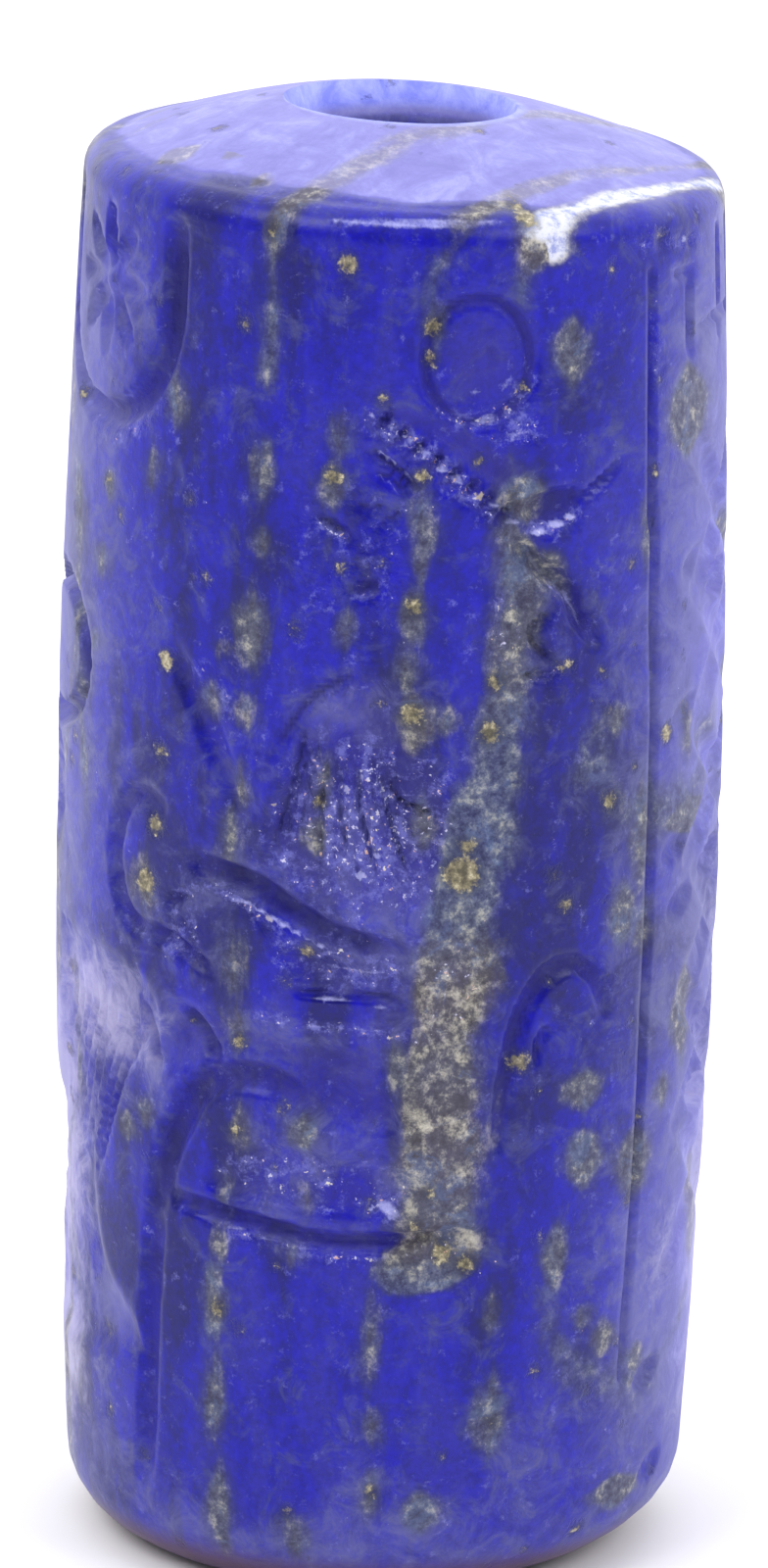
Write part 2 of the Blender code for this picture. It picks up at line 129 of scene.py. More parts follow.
def smooth_line(points, per_span=6):
    """A smooth line through a few places on the sheet."""
    given = np.array(points, float)
    if len(given) < 3:
        return given
    padded = np.vstack([2 * given[0] - given[1], given, 2 * given[-1] - given[-2]])
    t = np.linspace(0, 1, per_span, endpoint=False)[:, None]
    spans = []
    for a, b, c, d in zip(padded, padded[1:], padded[2:], padded[3:]):
        bend = (2 * a - 5 * b + 4 * c - d) * t ** 2 + (3 * b - a - 3 * c + d) * t ** 3
        spans.append((2 * b + (c - a) * t + bend) / 2)
    return np.vstack(spans + [given[-1:]])


def arc(u, v, across, up, start, end, count=9):
    """Places along an ellipse, its angles in degrees from the right, counted upwards."""
    places = []
    for i in range(count):
        turn = math.radians(start + (end - start) * i / (count - 1))
        places.append((u + across * math.cos(turn), v + up * math.sin(turn)))
    return places


class Frieze:
    """The side of the stone as a flat sheet, and how deep each place of it is cut."""

    def __init__(self, u, v):
        self.u = u
        self.v = v
        self.depth = np.zeros(u.shape)

    def near(self, centre, reach):
        du = (self.u - centre[0] + SHEET_TURN / 2) % SHEET_TURN - SHEET_TURN / 2
        dv = self.v - centre[1]
        found = np.nonzero((np.abs(du) < reach) & (np.abs(dv) < reach))[0]
        return found, du[found], dv[found]

    def cut(self, found, depth):
        self.depth[found] = np.maximum(self.depth[found], depth)

    def stroke(self, points, width, depth, tip=0.25):
        """A groove along a smooth line, round in section, running out at both tips."""
        line = smooth_line(points)
        centre = line.mean(axis=0)
        line = line - centre
        found, du, dv = self.near(centre, np.abs(line).max() + width)
        if not len(found):
            return
        steps = np.linalg.norm(np.diff(line, axis=0), axis=1)
        along = np.concatenate([[0], np.cumsum(steps)])
        nearest = np.full(found.shape, np.inf)
        share = np.zeros(found.shape)
        for start, end, step, before in zip(line, line[1:], steps, along):
            direction = (end - start) / step
            run = np.clip((du - start[0]) * direction[0] + (dv - start[1]) * direction[1], 0, step)
            away = np.hypot(du - start[0] - run * direction[0], dv - start[1] - run * direction[1])
            closer = away < nearest
            nearest = np.where(closer, away, nearest)
            share = np.where(closer, (before + run) / along[-1], share)
        section = np.clip(1 - (nearest / (width / 2)) ** 2, 0, 1) ** 1.1
        ends = np.minimum(share, 1 - share)
        runout = np.clip(0.35 + ends / max(tip, 1e-6), 0, 1)
        self.cut(found, depth * section * runout)

    def scoop(self, u, v, length, breadth, turn, depth):
        """A bowl cut with a round drill, long in the direction turn (degrees)."""
        found, du, dv = self.near((u, v), max(length, breadth) / 2)
        lean = math.radians(turn)
        along = (du * math.cos(lean) + dv * math.sin(lean)) / (length / 2)
        across = (dv * math.cos(lean) - du * math.sin(lean)) / (breadth / 2)
        self.cut(found, depth * np.clip(1 - along ** 2 - across ** 2, 0, 1) ** 0.6)

    def ledge(self, outline, depth, soft):
        """An area sunk evenly inside a closed outline, with a soft edge this wide."""
        edge = smooth_line(outline + outline[:1])
        centre = edge.mean(axis=0)
        edge = edge - centre
        found, du, dv = self.near(centre, np.abs(edge).max())
        inside = np.zeros(found.shape, bool)
        nearest = np.full(found.shape, np.inf)
        for (u0, v0), (u1, v1) in zip(edge, edge[1:]):
            if v0 != v1:
                crosses = (v0 > dv) != (v1 > dv)
                inside ^= crosses & (du < (u1 - u0) * (dv - v0) / (v1 - v0) + u0)
            step = max(math.hypot(u1 - u0, v1 - v0), 1e-9)
            run = np.clip(((du - u0) * (u1 - u0) + (dv - v0) * (v1 - v0)) / step ** 2, 0, 1)
            away = np.hypot(du - u0 - run * (u1 - u0), dv - v0 - run * (v1 - v0))
            nearest = np.minimum(nearest, away)
        slope = np.clip(nearest / soft, 0, 1)
        self.cut(found, np.where(inside, depth * slope ** 2 * (3 - 2 * slope), 0))

    def pleats(self, first, last, count, width, depth):
        """Strokes spread evenly from one guide line to another."""
        a = np.array(first, float)
        b = np.array(last, float)
        for i in range(count):
            share = i / (count - 1)
            self.stroke(a + (b - a) * share, width, self.under(a, b, share) + depth, tip=0.15)

    def under(self, a, b, share):
        """How deep the ground under a pleat is already, in the middle of its line."""
        middle = ((a + (b - a) * share)[len(a) // 2])
        found, du, dv = self.near(middle, 0.5)
        return float(np.median(self.depth[found])) if len(found) else 0.0


def star_in_crescent(frieze):
    u, v, reach = -9.35, 33.25, 1.85
    for arm in range(8):
        turn = math.radians(90 + 45 * arm)
        middle = (u + 0.55 * reach * math.cos(turn), v + 0.55 * reach * math.sin(turn))
        depth = LINE_CUT if arm in (0, 3, 5) else FINE_CUT
        frieze.scoop(*middle, 0.95 * reach, 0.62, math.degrees(turn), depth)
    horn = 2.95
    moon = [(u + horn, v + 1.8)] + arc(u, v - 0.3, horn, horn, 0, -180) + [(u - horn, v + 1.8)]
    frieze.stroke(moon, 0.8, WHEEL_CUT, tip=0.1)


def sun_disc(frieze):
    u, v, radius, rise = 2.05, 32.5, 1.4, 1.55
    frieze.scoop(u, v, 2.1 * radius, 2.1 * rise, 0, FINE_CUT)
    frieze.stroke(arc(u, v, radius, rise, 0, 360, 17), 0.45, LINE_CUT, tip=0)
    frieze.scoop(u + 0.35, v + 0.2, 0.5, 0.5, 0, LINE_CUT)


def crested_beast(frieze):
    """The leaping beast under the disc: its notched crest, jaw lines, forelegs and claws."""
    neck = [(0.0, 31.7), (2.2, 30.9), (3.9, 29.6), (3.2, 28.9), (2.6, 28.8), (1.0, 30.0),
            (-0.5, 31.0)]
    frieze.ledge(neck, LINE_CUT, 0.8)
    for i in range(8):
        share = i / 7
        u, v = -0.45 + 3.2 * share, 30.9 - 2.3 * share
        frieze.stroke([(u - 0.15, v - 0.2), (u + 0.35, v + 0.3)], 0.36, WHEEL_CUT, tip=0.6)
    frieze.stroke([(-0.65, 30.2), (0.05, 29.75), (0.56, 29.25)], 0.26, LINE_CUT)
    frieze.stroke([(-0.56, 29.7), (-0.1, 29.5), (0.2, 29.2)], 0.22, FINE_CUT)
    frieze.stroke([(-1.0, 28.85), (-0.55, 28.76), (-0.28, 28.95)], 0.24, FINE_CUT)
    frieze.stroke([(-0.46, 28.4), (-0.1, 28.55), (0.1, 28.8)], 0.24, FINE_CUT)
    frieze.stroke([(-2.0, 28.45), (-1.6, 28.3), (-1.15, 28.05)], 0.36, LINE_CUT)
    frieze.stroke([(-1.2, 27.35), (-0.8, 27.25), (-0.45, 27.25)], 0.25, FINE_CUT)
    frieze.scoop(-0.68, 26.8, 0.85, 0.5, 20, LINE_CUT)
    frieze.scoop(4.1, 28.75, 2.0, 0.85, 12, WHEEL_CUT)
    frieze.stroke([(4.9, 28.85), (5.5, 29.2), (6.1, 29.65)], 0.30, FINE_CUT)
    frieze.stroke([(2.9, 28.0), (3.8, 27.2), (4.6, 26.6), (5.0, 25.8), (5.4, 25.3)], 0.70, WHEEL_CUT)
    frieze.stroke([(4.1, 26.1), (3.55, 25.5), (4.3, 24.7)], 0.32, LINE_CUT)
    frieze.stroke([(3.4, 24.5), (4.2, 24.55)], 0.28, LINE_CUT)
    frieze.scoop(2.9, 27.2, 1.2, 2.6, 8, FINE_CUT)


def fleeced_body(frieze):
    """The shaggy bell-shaped body in the middle and the belt of deep cutting under it."""
    bell = [(-0.9, 24.6), (-1.9, 24.0), (-2.6, 23.1), (-3.1, 21.6), (-3.3, 19.8), (-2.4, 18.6),
            (-0.4, 17.9), (1.3, 18.4), (2.0, 19.8), (1.9, 21.2), (1.2, 22.6), (0.4, 23.8), (-0.2, 24.5)]
    frieze.ledge(bell, LINE_CUT, 0.8)
    frieze.stroke([(-0.9, 24.6), (-1.9, 24.0), (-2.6, 23.1), (-2.9, 22.4)], 0.4, LINE_CUT)
    for i in range(12):
        share = i / 11
        wave = 0.12 * math.sin(5 * i)
        top = (-2.1 + 2.3 * share, 23.3 - 0.7 * share - 0.4 * (i % 2))
        middle = (-2.6 + 2.9 * share + wave, 21.4)
        foot = (-3.0 + 4.4 * share, 19.9 - 1.3 * math.sin(math.pi * share) + 0.5 * (i % 3))
        frieze.stroke([top, middle, foot], 0.27, LINE_CUT + FINE_CUT * (1 + 0.5 * math.sin(3 * i)), tip=0.3)
    belt = [(-4.9, 19.25), (-3.5, 19.0), (-2.3, 18.4), (-1.2, 17.85), (0.3, 17.5)]
    frieze.stroke(belt, 0.75, BODY_CUT)
    frieze.scoop(-1.5, 16.9, 2.6, 0.9, -15, LINE_CUT)
    frieze.stroke([(-5.9, 24.6), (-5.1, 23.3), (-4.5, 22.3), (-3.9, 21.2)], 0.75, FINE_CUT)
    frieze.stroke([(-4.9, 23.9), (-4.5, 22.5), (-3.9, 21.0)], 0.35, FINE_CUT)


def looped_tail(frieze):
    frieze.stroke(arc(-6.85, 19.0, 1.1, 1.75, 60, 285, 9), 0.65, LINE_CUT)
    frieze.stroke([(-6.7, 17.35), (-5.7, 17.1), (-4.6, 16.6)], 0.45, LINE_CUT)
    frieze.stroke([(-6.0, 18.1), (-5.4, 18.4)], 0.4, LINE_CUT)


def crouching_beast(frieze):
    """The lower beast: its long body, hind leg, the belly line and the raised foreleg."""
    body = [(-6.6, 15.9), (-4.2, 15.9), (-2.0, 15.5), (0.2, 15.6), (0.5, 14.0), (-0.6, 12.9), (-1.8, 13.2),
            (-2.8, 13.9), (-3.9, 14.2), (-5.2, 13.4), (-6.4, 13.8)]
    frieze.ledge(body, WHEEL_CUT, 1.4)
    frieze.stroke([(-5.4, 15.4), (-4.85, 14.8), (-4.4, 14.3)], 0.6, BODY_CUT)
    arch = [(-1.4, 13.2), (-2.6, 13.9), (-3.7, 14.0), (-4.8, 13.5), (-5.5, 12.4), (-6.0, 11.3), (-6.2, 10.3)]
    frieze.stroke(arch, 0.9, WHEEL_CUT)
    frieze.stroke([(-7.1, 15.3), (-6.6, 14.6), (-6.3, 13.7)], 0.5, WHEEL_CUT)
    frieze.stroke([(-2.2, 16.35), (-0.95, 16.45), (0.5, 16.25)], 0.28, LINE_CUT)
    frieze.scoop(-1.0, 13.9, 3.4, 1.5, -35, WHEEL_CUT)
    flank = [(-4.4, 12.3), (-2.2, 12.4), (0.9, 11.8), (0.9, 10.6), (-1.6, 10.5), (-4.6, 10.7)]
    frieze.ledge(flank, FINE_CUT, 0.4)
    belly = [(-5.6, 10.45), (-4.2, 10.25), (-2.6, 10.05), (-1.3, 9.85), (0.1, 9.9), (2.7, 10.05)]
    frieze.stroke(belly, 0.58, WHEEL_CUT)
    foreleg = [(3.05, 12.4), (3.2, 14.0), (3.55, 15.6), (4.2, 16.7), (5.05, 16.95), (5.8, 16.4),
               (6.1, 15.6)]
    frieze.stroke(foreleg, 0.6, LINE_CUT)
    frieze.stroke([(4.0, 14.4), (4.2, 15.2), (4.6, 15.3)], 0.3, FINE_CUT)


def pleated_skirt(frieze):
    """The wide skirt at the left, its folds sweeping down and outwards from the belt."""
    skirt = [(-11.6, 16.4), (-9.0, 16.7), (-6.6, 16.05), (-5.9, 15.0), (-6.4, 13.7), (-8.1, 12.6),
             (-8.8, 10.8), (-8.4, 8.3), (-6.8, 6.6), (-7.2, 5.5), (-13.6, 5.4), (-14.0, 9.0), (-12.0, 13.0)]
    frieze.ledge(skirt, FINE_CUT, 0.7)
    for i in range(9):
        share = i / 8
        start = (-11.2 + 4.0 * share, 16.3 - 0.2 * share)
        knee = (-10.6 + 3.9 * share, 14.8)
        sweep = (-11.2 + 3.6 * share, 13.0 + 0.4 * share)
        end = (-11.6 + 2.6 * share, 9.6 + 0.6 * share)
        frieze.stroke([start, knee, sweep, end], 0.45, LINE_CUT, tip=0.4)
    worn_hollow = [(-16.0, 12.6), (-13.0, 12.8), (-11.0, 11.6), (-11.2, 9.0), (-13.0, 7.6), (-16.0, 7.8)]
    frieze.ledge(worn_hollow, LINE_CUT, 2.0)
    frieze.scoop(-12.4, 19.6, 3.2, 2.4, 80, LINE_CUT)
    frieze.stroke(arc(-12.0, 23.5, 2.25, 1.85, 0, 360, 17), 0.7, WHEEL_CUT, tip=0)
    frieze.stroke([(-6.3, 9.8), (-6.55, 7.4), (-6.7, 4.8), (-6.9, 2.7)], 0.75, LINE_CUT)


def framed_plait(frieze):
    """The band behind the upright line at the right: short strokes over a plaited stem."""
    left, right = 7.4, 15.2
    frame_line = [(left - 0.1, 34.4), (left - 0.1, 30.0), (left + 0.1, 25.0), (left + 0.15, 16.0),
                  (left + 0.1, 5.4)]
    frieze.stroke(frame_line, 0.28, LINE_CUT, 0.1)
    frieze.stroke([(right, 34.5), (right, 5.4)], 0.38, LINE_CUT, 0.1)
    frieze.stroke([(8.4, 34.15), (9.4, 34.1)], 0.45, FINE_CUT)
    frieze.stroke([(9.1, 33.9), (9.1, 32.1)], 0.40, LINE_CUT, tip=0.6)
    frieze.stroke([(9.6, 32.6), (12.4, 32.7)], 0.40, FINE_CUT)
    for u in (11.2, 12.6, 13.9):
        frieze.stroke([(u, 34.9), (u + 0.1, 32.2)], 0.42, LINE_CUT, tip=0.5)
    pitch, middle, half = 3.5, 11.5, 1.9
    for i in range(6):
        low = 8.4 + pitch * i
        for side in (-1, 1):
            top = low + pitch
            rail = [(middle - side * half, low), (middle, (low + top) / 2), (middle + side * half, top)]
            frieze.stroke(rail, 1.1, LINE_CUT if i % 2 else FINE_CUT, tip=0.5)
    for pit in (25.8, 18.5, 12.2):
        frieze.scoop(middle - 0.3, pit, 1.7, 1.0, 10, WHEEL_CUT)
    for u, v in ((9.4, 26.6), (9.0, 22.8), (8.7, 19.3), (9.0, 17.8), (9.6, 8.2), (8.7, 5.3), (9.3, 2.6)):
        frieze.scoop(u, v, 1.4, 0.7, 25, FINE_CUT)


def robed_figure(frieze, u, facing):
    """A standing figure in a long pleated robe with one hand raised, facing left or right."""
    def ahead(*points):
        """Places given by how far ahead of the figure's middle they are, and their height."""
        return [(u + facing * du, v) for du, v in points]

    frieze.scoop(u, 30.9, 2.6, 2.1, 90, WHEEL_CUT)
    frieze.stroke(ahead((0.7, 30.9), (1.25, 30.6)), 0.5, LINE_CUT, tip=0.6)
    frieze.stroke(ahead((-0.9, 32.3), (0, 32.9), (0.9, 32.4)), 0.6, WHEEL_CUT)
    frieze.stroke(ahead((-1.1, 31.0), (-1.3, 29.6)), 0.6, LINE_CUT)
    frieze.scoop(u, 27.0, 3.6, 4.6, 90, BODY_CUT)
    frieze.stroke(ahead((1.4, 28.0), (2.7, 27.0), (3.2, 28.9)), 0.65, WHEEL_CUT)
    frieze.stroke(ahead((1.2, 26.8), (2.2, 25.2), (2.9, 25.6)), 0.6, WHEEL_CUT)
    robe = [(u - 1.5, 25.2), (u + 1.5, 25.2), (u + 2.1, 16.0), (u + 2.5, 7.0), (u, 6.5),
            (u - 2.5, 7.0), (u - 2.1, 16.0)]
    frieze.ledge(robe, WHEEL_CUT, 0.7)
    frieze.pleats([(u - 1.2, 24.6), (u - 1.9, 7.4)], [(u + 1.2, 24.6), (u + 1.9, 7.4)], 6, 0.5, FINE_CUT)
    for foot in (-0.9, 1.0):
        frieze.scoop(u + foot + facing * 0.5, 5.6, 2.0, 0.9, 0, WHEEL_CUT)


def palm_tree(frieze, u):
    frieze.stroke([(u, 6.0), (u + 0.15, 15.0), (u, 25.5)], 0.8, WHEEL_CUT, tip=0.05)
    for i in range(7):
        v = 7.5 + 2.5 * i
        frieze.stroke([(u - 0.7, v - 0.3), (u, v + 0.2), (u + 0.7, v - 0.3)], 0.4, LINE_CUT)
    for side in (-1, 1):
        for reach, rise, fall in ((3.0, 27.8, 23.4), (2.8, 29.8, 26.2), (2.1, 31.6, 29.2)):
            frond = [(u, 25.6), (u + side * reach * 0.6, rise), (u + side * reach, fall)]
            frieze.stroke(frond, 0.6, WHEEL_CUT)
    frieze.stroke([(u, 25.6), (u, 32.6)], 0.6, WHEEL_CUT)


def carve(u, v):
    """Depth of the whole frieze at each place of the sheet."""
    frieze = Frieze(u, v)
    star_in_crescent(frieze)
    sun_disc(frieze)
    crested_beast(frieze)
    fleeced_body(frieze)
    looped_tail(frieze)
    crouching_beast(frieze)
    pleated_skirt(frieze)
    framed_plait(frieze)
    robed_figure(frieze, 19.4, -1)
    palm_tree(frieze, 25.2)
    robed_figure(frieze, -21.6, 1)
    return frieze.depth * np.clip(v - CARVED_LOW, 0, 1) * np.clip((CARVED_HIGH - v) / 0.6, 0, 1)


# Veins and grains

def bedding_turn(z):
    """The bedding's direction at height z."""
    return np.radians(BEDDING_TURN + CROWN_TWIST * np.clip((z - TWIST_FROM) / TWIST_RISE, 0, 1))


def bedding_place(x, y, z):
    """How far a place lies across the stone's bedding."""
    return x * np.cos(bedding_turn(z)) - y * np.sin(bedding_turn(z))


def place_on_front(u, v):
    """Where a place of the sheet lies across the bedding, and how fast that grows to the right."""
    turn = 2 * math.pi * u / SHEET_TURN
    radius = barrel_radius(v)
    place = bedding_place(radius * math.sin(turn), -radius * math.cos(turn), v)
    return place, math.cos(turn + bedding_turn(v))


# Veins that run from the crown down the front: height, place on the front, half width, and how creamy
LEFT_VEIN = [
    (37.6, -3.3, 0.44, 0.9), (36.3, -3.3, 0.46, 0.8), (35.6, -3.4, 0.28, 0.6), (34.6, -3.4, 0.02, 0.3),
    (33.6, -3.35, 0.12, 0.2), (32.8, -3.35, 0.26, 0.2), (31.8, -3.4, 0.16, 0.2), (31.2, -3.4, -0.3, 0.1),
    (1.0, -4.4, -1.5, 0.0)]
MIDDLE_VEIN = [
    (37.6, 1.1, 0.5, 0.95), (36.2, 1.1, 0.4, 0.95), (34.6, 0.8, 0.18, 0.1), (33.4, 0.8, 0.2, 0.3),
    (32.0, 0.8, -0.3, 0.1), (1.0, 1.4, -1.5, 0.0)]
RIGHT_VEIN = [
    (37.6, 3.9, 0.85, 1.0), (35.55, 3.9, 0.8, 1.0), (35.1, 3.7, 0.6, 0.95), (34.4, 3.2, 0.1, 0.3),
    (32.0, 2.9, -0.6, 0.1), (28.8, 2.8, -0.2, 0.3), (28.1, 2.9, 0.5, 0.4), (27.4, 3.15, 0.8, 0.4),
    (26.4, 3.1, 0.65, 0.4), (25.2, 2.9, 0.5, 0.5), (24.2, 2.95, 0.46, 0.4), (23.2, 2.7, 0.82, 0.1),
    (22.2, 2.62, 0.74, 0.0), (21.2, 2.3, 0.92, 0.0), (20.2, 2.1, 1.0, 0.0), (19.2, 1.95, 1.0, 0.0),
    (18.2, 1.9, 0.96, 0.1), (17.6, 1.7, 1.05, 0.5), (16.4, 1.6, 1.15, 0.96), (15.4, 1.5, 1.0, 0.8),
    (14.4, 1.5, 1.0, 0.6), (13.0, 1.45, 1.05, 0.85), (11.6, 1.45, 1.1, 0.7), (10.6, 1.5, 1.05, 0.5),
    (9.8, 1.5, 1.2, 0.96), (9.2, 1.2, 1.3, 0.3), (8.6, 0.9, 0.6, 0.0), (8.2, 0.6, -0.8, 0.0),
    (1.0, 1.8, -1.5, 0.0)]
FRONT_VEINS = [LEFT_VEIN, MIDDLE_VEIN, RIGHT_VEIN]

# The lenses are at least this creamy
LENS_EARTH = 0.4

# Where a vein comes out in a lens: place on the sheet, half width, half height, and how creamy
LENSES = [
    (-8.7, 36.35, 0.7, 0.2, 0.8), (-4.7, 36.3, 0.5, 0.16, 0.8), (-6.9, 36.6, 0.6, 0.14, 0.7),
    (4.1, 35.3, 0.8, 0.55, 1.0), (1.9, 16.9, 0.3, 0.7, 1.0), (1.2, 16.2, 0.26, 0.4, 1.0),
    (2.1, 9.9, 0.25, 0.2, 1.0), (9.6, 14.6, 0.7, 1.6, 0.5), (11.6, 9.0, 0.8, 1.8, 0.6),
    (9.2, 22.4, 0.5, 1.2, 0.5), (-6.7, 18.3, 0.4, 1.0, 0.8), (-3.4, 29.5, 0.3, 0.8, 0.1),
    (-3.4, 27.7, 0.25, 0.4, 0.0), (-3.73, 25.5, 0.42, 1.1, 0.1), (-4.3, 24.9, 0.2, 0.3, 0.8),
    (-3.65, 23.4, 0.35, 0.5, 0.7), (-3.8, 21.4, 0.2, 0.6, 0.6), (-4.0, 20.1, 0.42, 0.9, 0.0),
    (-4.7, 23.5, 0.35, 0.5, 0.5), (-3.95, 17.0, 0.28, 1.2, 0.1), (-3.85, 15.2, 0.25, 0.8, 0.6),
    (-3.75, 12.4, 0.32, 0.95, 0.6), (-4.1, 11.1, 0.25, 0.6, 0.1), (-4.2, 9.5, 0.25, 0.5, 0.5),
    (-4.35, 7.9, 0.32, 1.0, 0.4), (-4.4, 5.3, 0.35, 1.2, 0.0), (-4.2, 2.4, 0.4, 1.3, 0.0),
    (-1.45, 30.6, 0.28, 0.6, 0.0), (-1.6, 29.3, 0.34, 0.7, 0.2), (-1.7, 27.9, 0.22, 0.7, 0.2),
    (-1.15, 25.7, 0.25, 0.5, 0.2), (-1.65, 21.8, 0.28, 1.0, 0.0), (-1.8, 20.3, 0.34, 0.5, 0.5),
    (0.65, 28.4, 0.25, 1.2, 0.1), (0.43, 26.0, 0.45, 0.8, 0.2), (0.3, 24.8, 0.4, 0.8, 0.4),
    (0.55, 23.4, 0.5, 0.8, 0.7), (1.4, 23.5, 0.3, 0.4, 0.4), (0.9, 20.7, 0.3, 0.7, 0.2),
    (0.35, 14.6, 0.42, 1.0, 0.2), (-2.0, 12.7, 0.35, 0.5, 0.1), (-1.9, 10.9, 0.34, 0.5, 0.7),
    (-2.3, 9.5, 0.34, 0.5, 0.7), (-0.1, 7.0, 0.26, 1.2, 0.3), (0.0, 4.9, 0.34, 0.8, 0.0),
    (-0.05, 3.1, 0.3, 0.8, 0.4), (3.1, 7.9, 0.3, 0.8, 0.2), (3.2, 5.2, 0.55, 1.3, 0.0),
    (4.9, 9.2, 0.42, 1.0, 0.1), (5.6, 11.7, 0.5, 0.8, 0.1), (5.6, 13.6, 0.65, 0.6, 0.2),
    (-2.1, 1.9, 0.42, 0.7, 0.1), (1.3, 2.6, 0.5, 0.6, 0.0), (-6.6, 12.5, 0.35, 0.5, 0.4),
    (-7.4, 11.9, 0.35, 0.4, 0.2), (7.2, 20.0, 0.4, 1.8, 0.2), (7.2, 27.6, 0.3, 1.0, 0.1),
    (6.2, 23.1, 0.5, 0.5, 0.2), (7.5, 11.2, 0.75, 1.1, 0.3), (8.6, 12.9, 0.5, 0.5, 0.4),
    (6.6, 6.7, 0.5, 0.6, 0.5), (5.8, 7.4, 0.35, 0.4, 0.1), (8.1, 5.9, 0.5, 0.5, 0.4),
    (7.6, 2.4, 1.2, 0.5, 0.4), (7.4, 17.6, 0.5, 0.9, 0.3), (6.6, 18.0, 0.6, 0.9, 0.1),
    (9.0, 30.6, 1.2, 1.3, 0.2), (9.4, 20.0, 1.4, 0.5, 0.3), (4.6, 32.6, 0.5, 0.9, 0.0),
    (-6.9, 29.0, 0.3, 0.6, 0.0), (-6.2, 30.9, 0.3, 0.7, 0.3), (-8.7, 28.3, 0.4, 0.4, 0.2),
    (-9.0, 26.3, 0.5, 0.5, 0.1), (-9.2, 24.2, 0.35, 0.35, 0.2), (3.4, 28.9, 0.6, 0.7, 0.5),
    (4.0, 27.2, 0.5, 0.5, 0.5)]

# Sheets that the front hardly shows: place across the bedding, half width, creaminess
DEEP_SHEETS = [(-6.1, 0.22, 0.6), (-7.9, 0.20, 0.2), (-4.9, 0.12, 0.3), (8.25, 0.02, 0.1)]

# Pyrite grains on the front: place on the sheet and radius
PYRITE = [
    (2.5, 23.1, 0.32), (1.9, 19.5, 0.48), (2.0, 20.2, 0.25), (-1.4, 34.8, 0.28), (-1.6, 29.5, 0.26),
    (-6.2, 24.3, 0.26), (-6.7, 18.5, 0.36), (-6.4, 20.0, 0.26), (0.8, 33.3, 0.26), (0.8, 32.5, 0.2),
    (3.4, 36.0, 0.3), (6.0, 21.0, 0.24), (4.7, 18.5, 0.2), (3.6, 14.5, 0.28), (-3.8, 14.8, 0.18),
    (-3.8, 12.5, 0.16), (-4.3, 7.7, 0.22), (0.0, 3.2, 0.16), (-2.3, 2.5, 0.16), (-0.4, 31.5, 0.16),
    (-4.1, 33.0, 0.16), (0.6, 29.6, 0.22), (0.5, 26.3, 0.26), (0.5, 23.6, 0.3), (-5.6, 28.5, 0.12),
    (-3.5, 35.4, 0.2), (1.3, 11.2, 0.14), (1.7, 9.6, 0.3), (2.3, 9.3, 0.26), (2.6, 24.4, 0.24),
    (5.9, 23.4, 0.12), (6.6, 27.0, 0.14), (-2.0, 17.4, 0.22), (-1.8, 21.2, 0.2), (-8.8, 28.4, 0.16),
    (8.1, 22.4, 0.24)]


def veins_at(x, y, z, u, v):
    """How far inside a vein each place is (less than nothing outside), and how creamy that vein is."""
    place = bedding_place(x, y, z)
    inside = np.full(x.shape, FAR_OUTSIDE)
    cream = np.zeros(x.shape)
    for vein in FRONT_VEINS:
        heights = [row[0] for row in reversed(vein)]
        middle, growth = zip(*(place_on_front(row[1], row[0]) for row in reversed(vein)))
        half = np.interp(z, heights, [row[2] for row in reversed(vein)])
        within = half - np.abs(place - np.interp(z, heights, middle)) / np.interp(z, heights, growth)
        cream = np.where(within > inside, np.interp(z, heights, [row[3] for row in reversed(vein)]), cream)
        inside = np.maximum(inside, within)
    for at_u, at_v, half, tall, creamy in LENSES:
        away = np.abs(u - at_u)
        within = np.where(away < 3, half * (1 - ((v - at_v) / tall) ** 2) - away, FAR_OUTSIDE)
        within = np.maximum(within, FAR_OUTSIDE)
        cream = np.where(within > inside, np.maximum(creamy, LENS_EARTH), cream)
        inside = np.maximum(inside, within)
    for middle, half, creamy in DEEP_SHEETS:
        sway = 0.5 * np.sin(z * 0.33 + middle) + 0.25 * np.sin(z * 0.9 + 2 * middle)
        fade = 0.35 * np.sin(z * 0.41 + 3 * middle) - 0.1
        within = half + 0.5 * fade - np.abs(place - middle - sway)
        cream = np.where(within > inside, creamy, cream)
        inside = np.maximum(inside, within)
    return inside, cream


def grains_at(u, v):
    """How far inside a grain of pyrite each place of the sheet is."""
    inside = np.full(u.shape, -1.0)
    for at_u, at_v, radius in PYRITE:
        inside = np.maximum(inside, radius - np.hypot(u - at_u, v - at_v))
    return inside


# Where handling has taken the polish, with the strongest patches at the limbs also standing in for painted
# sheen: place on the sheet, half its width and height, and how much
WORN = [
    (-11.0, 31.5, 4.5, 4.5, 0.9), (-12.5, 22.0, 5.0, 8.0, 0.7), (-12.7, 12.0, 3.5, 5.8, 1.35),
    (-12.9, 6.0, 3.3, 4.0, 1.3), (8.6, 8.0, 2.2, 7.0, 0.85), (11.5, 24.0, 4.8, 14.0, 1.2),
    (12.2, 9.0, 4.4, 9.0, 1.35), (-1.0, 18.0, 4.5, 5.0, 0.5), (-1.5, 11.5, 4.0, 2.5, 0.5),
    (-2.0, 1.6, 9.0, 2.0, 0.7), (22.0, 18.0, 7.0, 15.0, 0.6), (-22.0, 12.0, 5.0, 10.0, 0.6),
    (-6.8, 14.4, 2.4, 1.8, 0.7), (-1.2, 23.6, 1.6, 1.0, 0.7), (4.4, 24.0, 1.6, 3.0, 0.5),
    (-9.5, 3.0, 3.0, 2.0, 0.6), (-8.4, 6.9, 1.6, 1.2, 0.9), (-8.6, 14.4, 2.6, 1.8, 0.9),
    (0.0, 4.0, 9.0, 4.2, 0.45), (-10.0, 15.2, 2.2, 1.6, 1.1)]
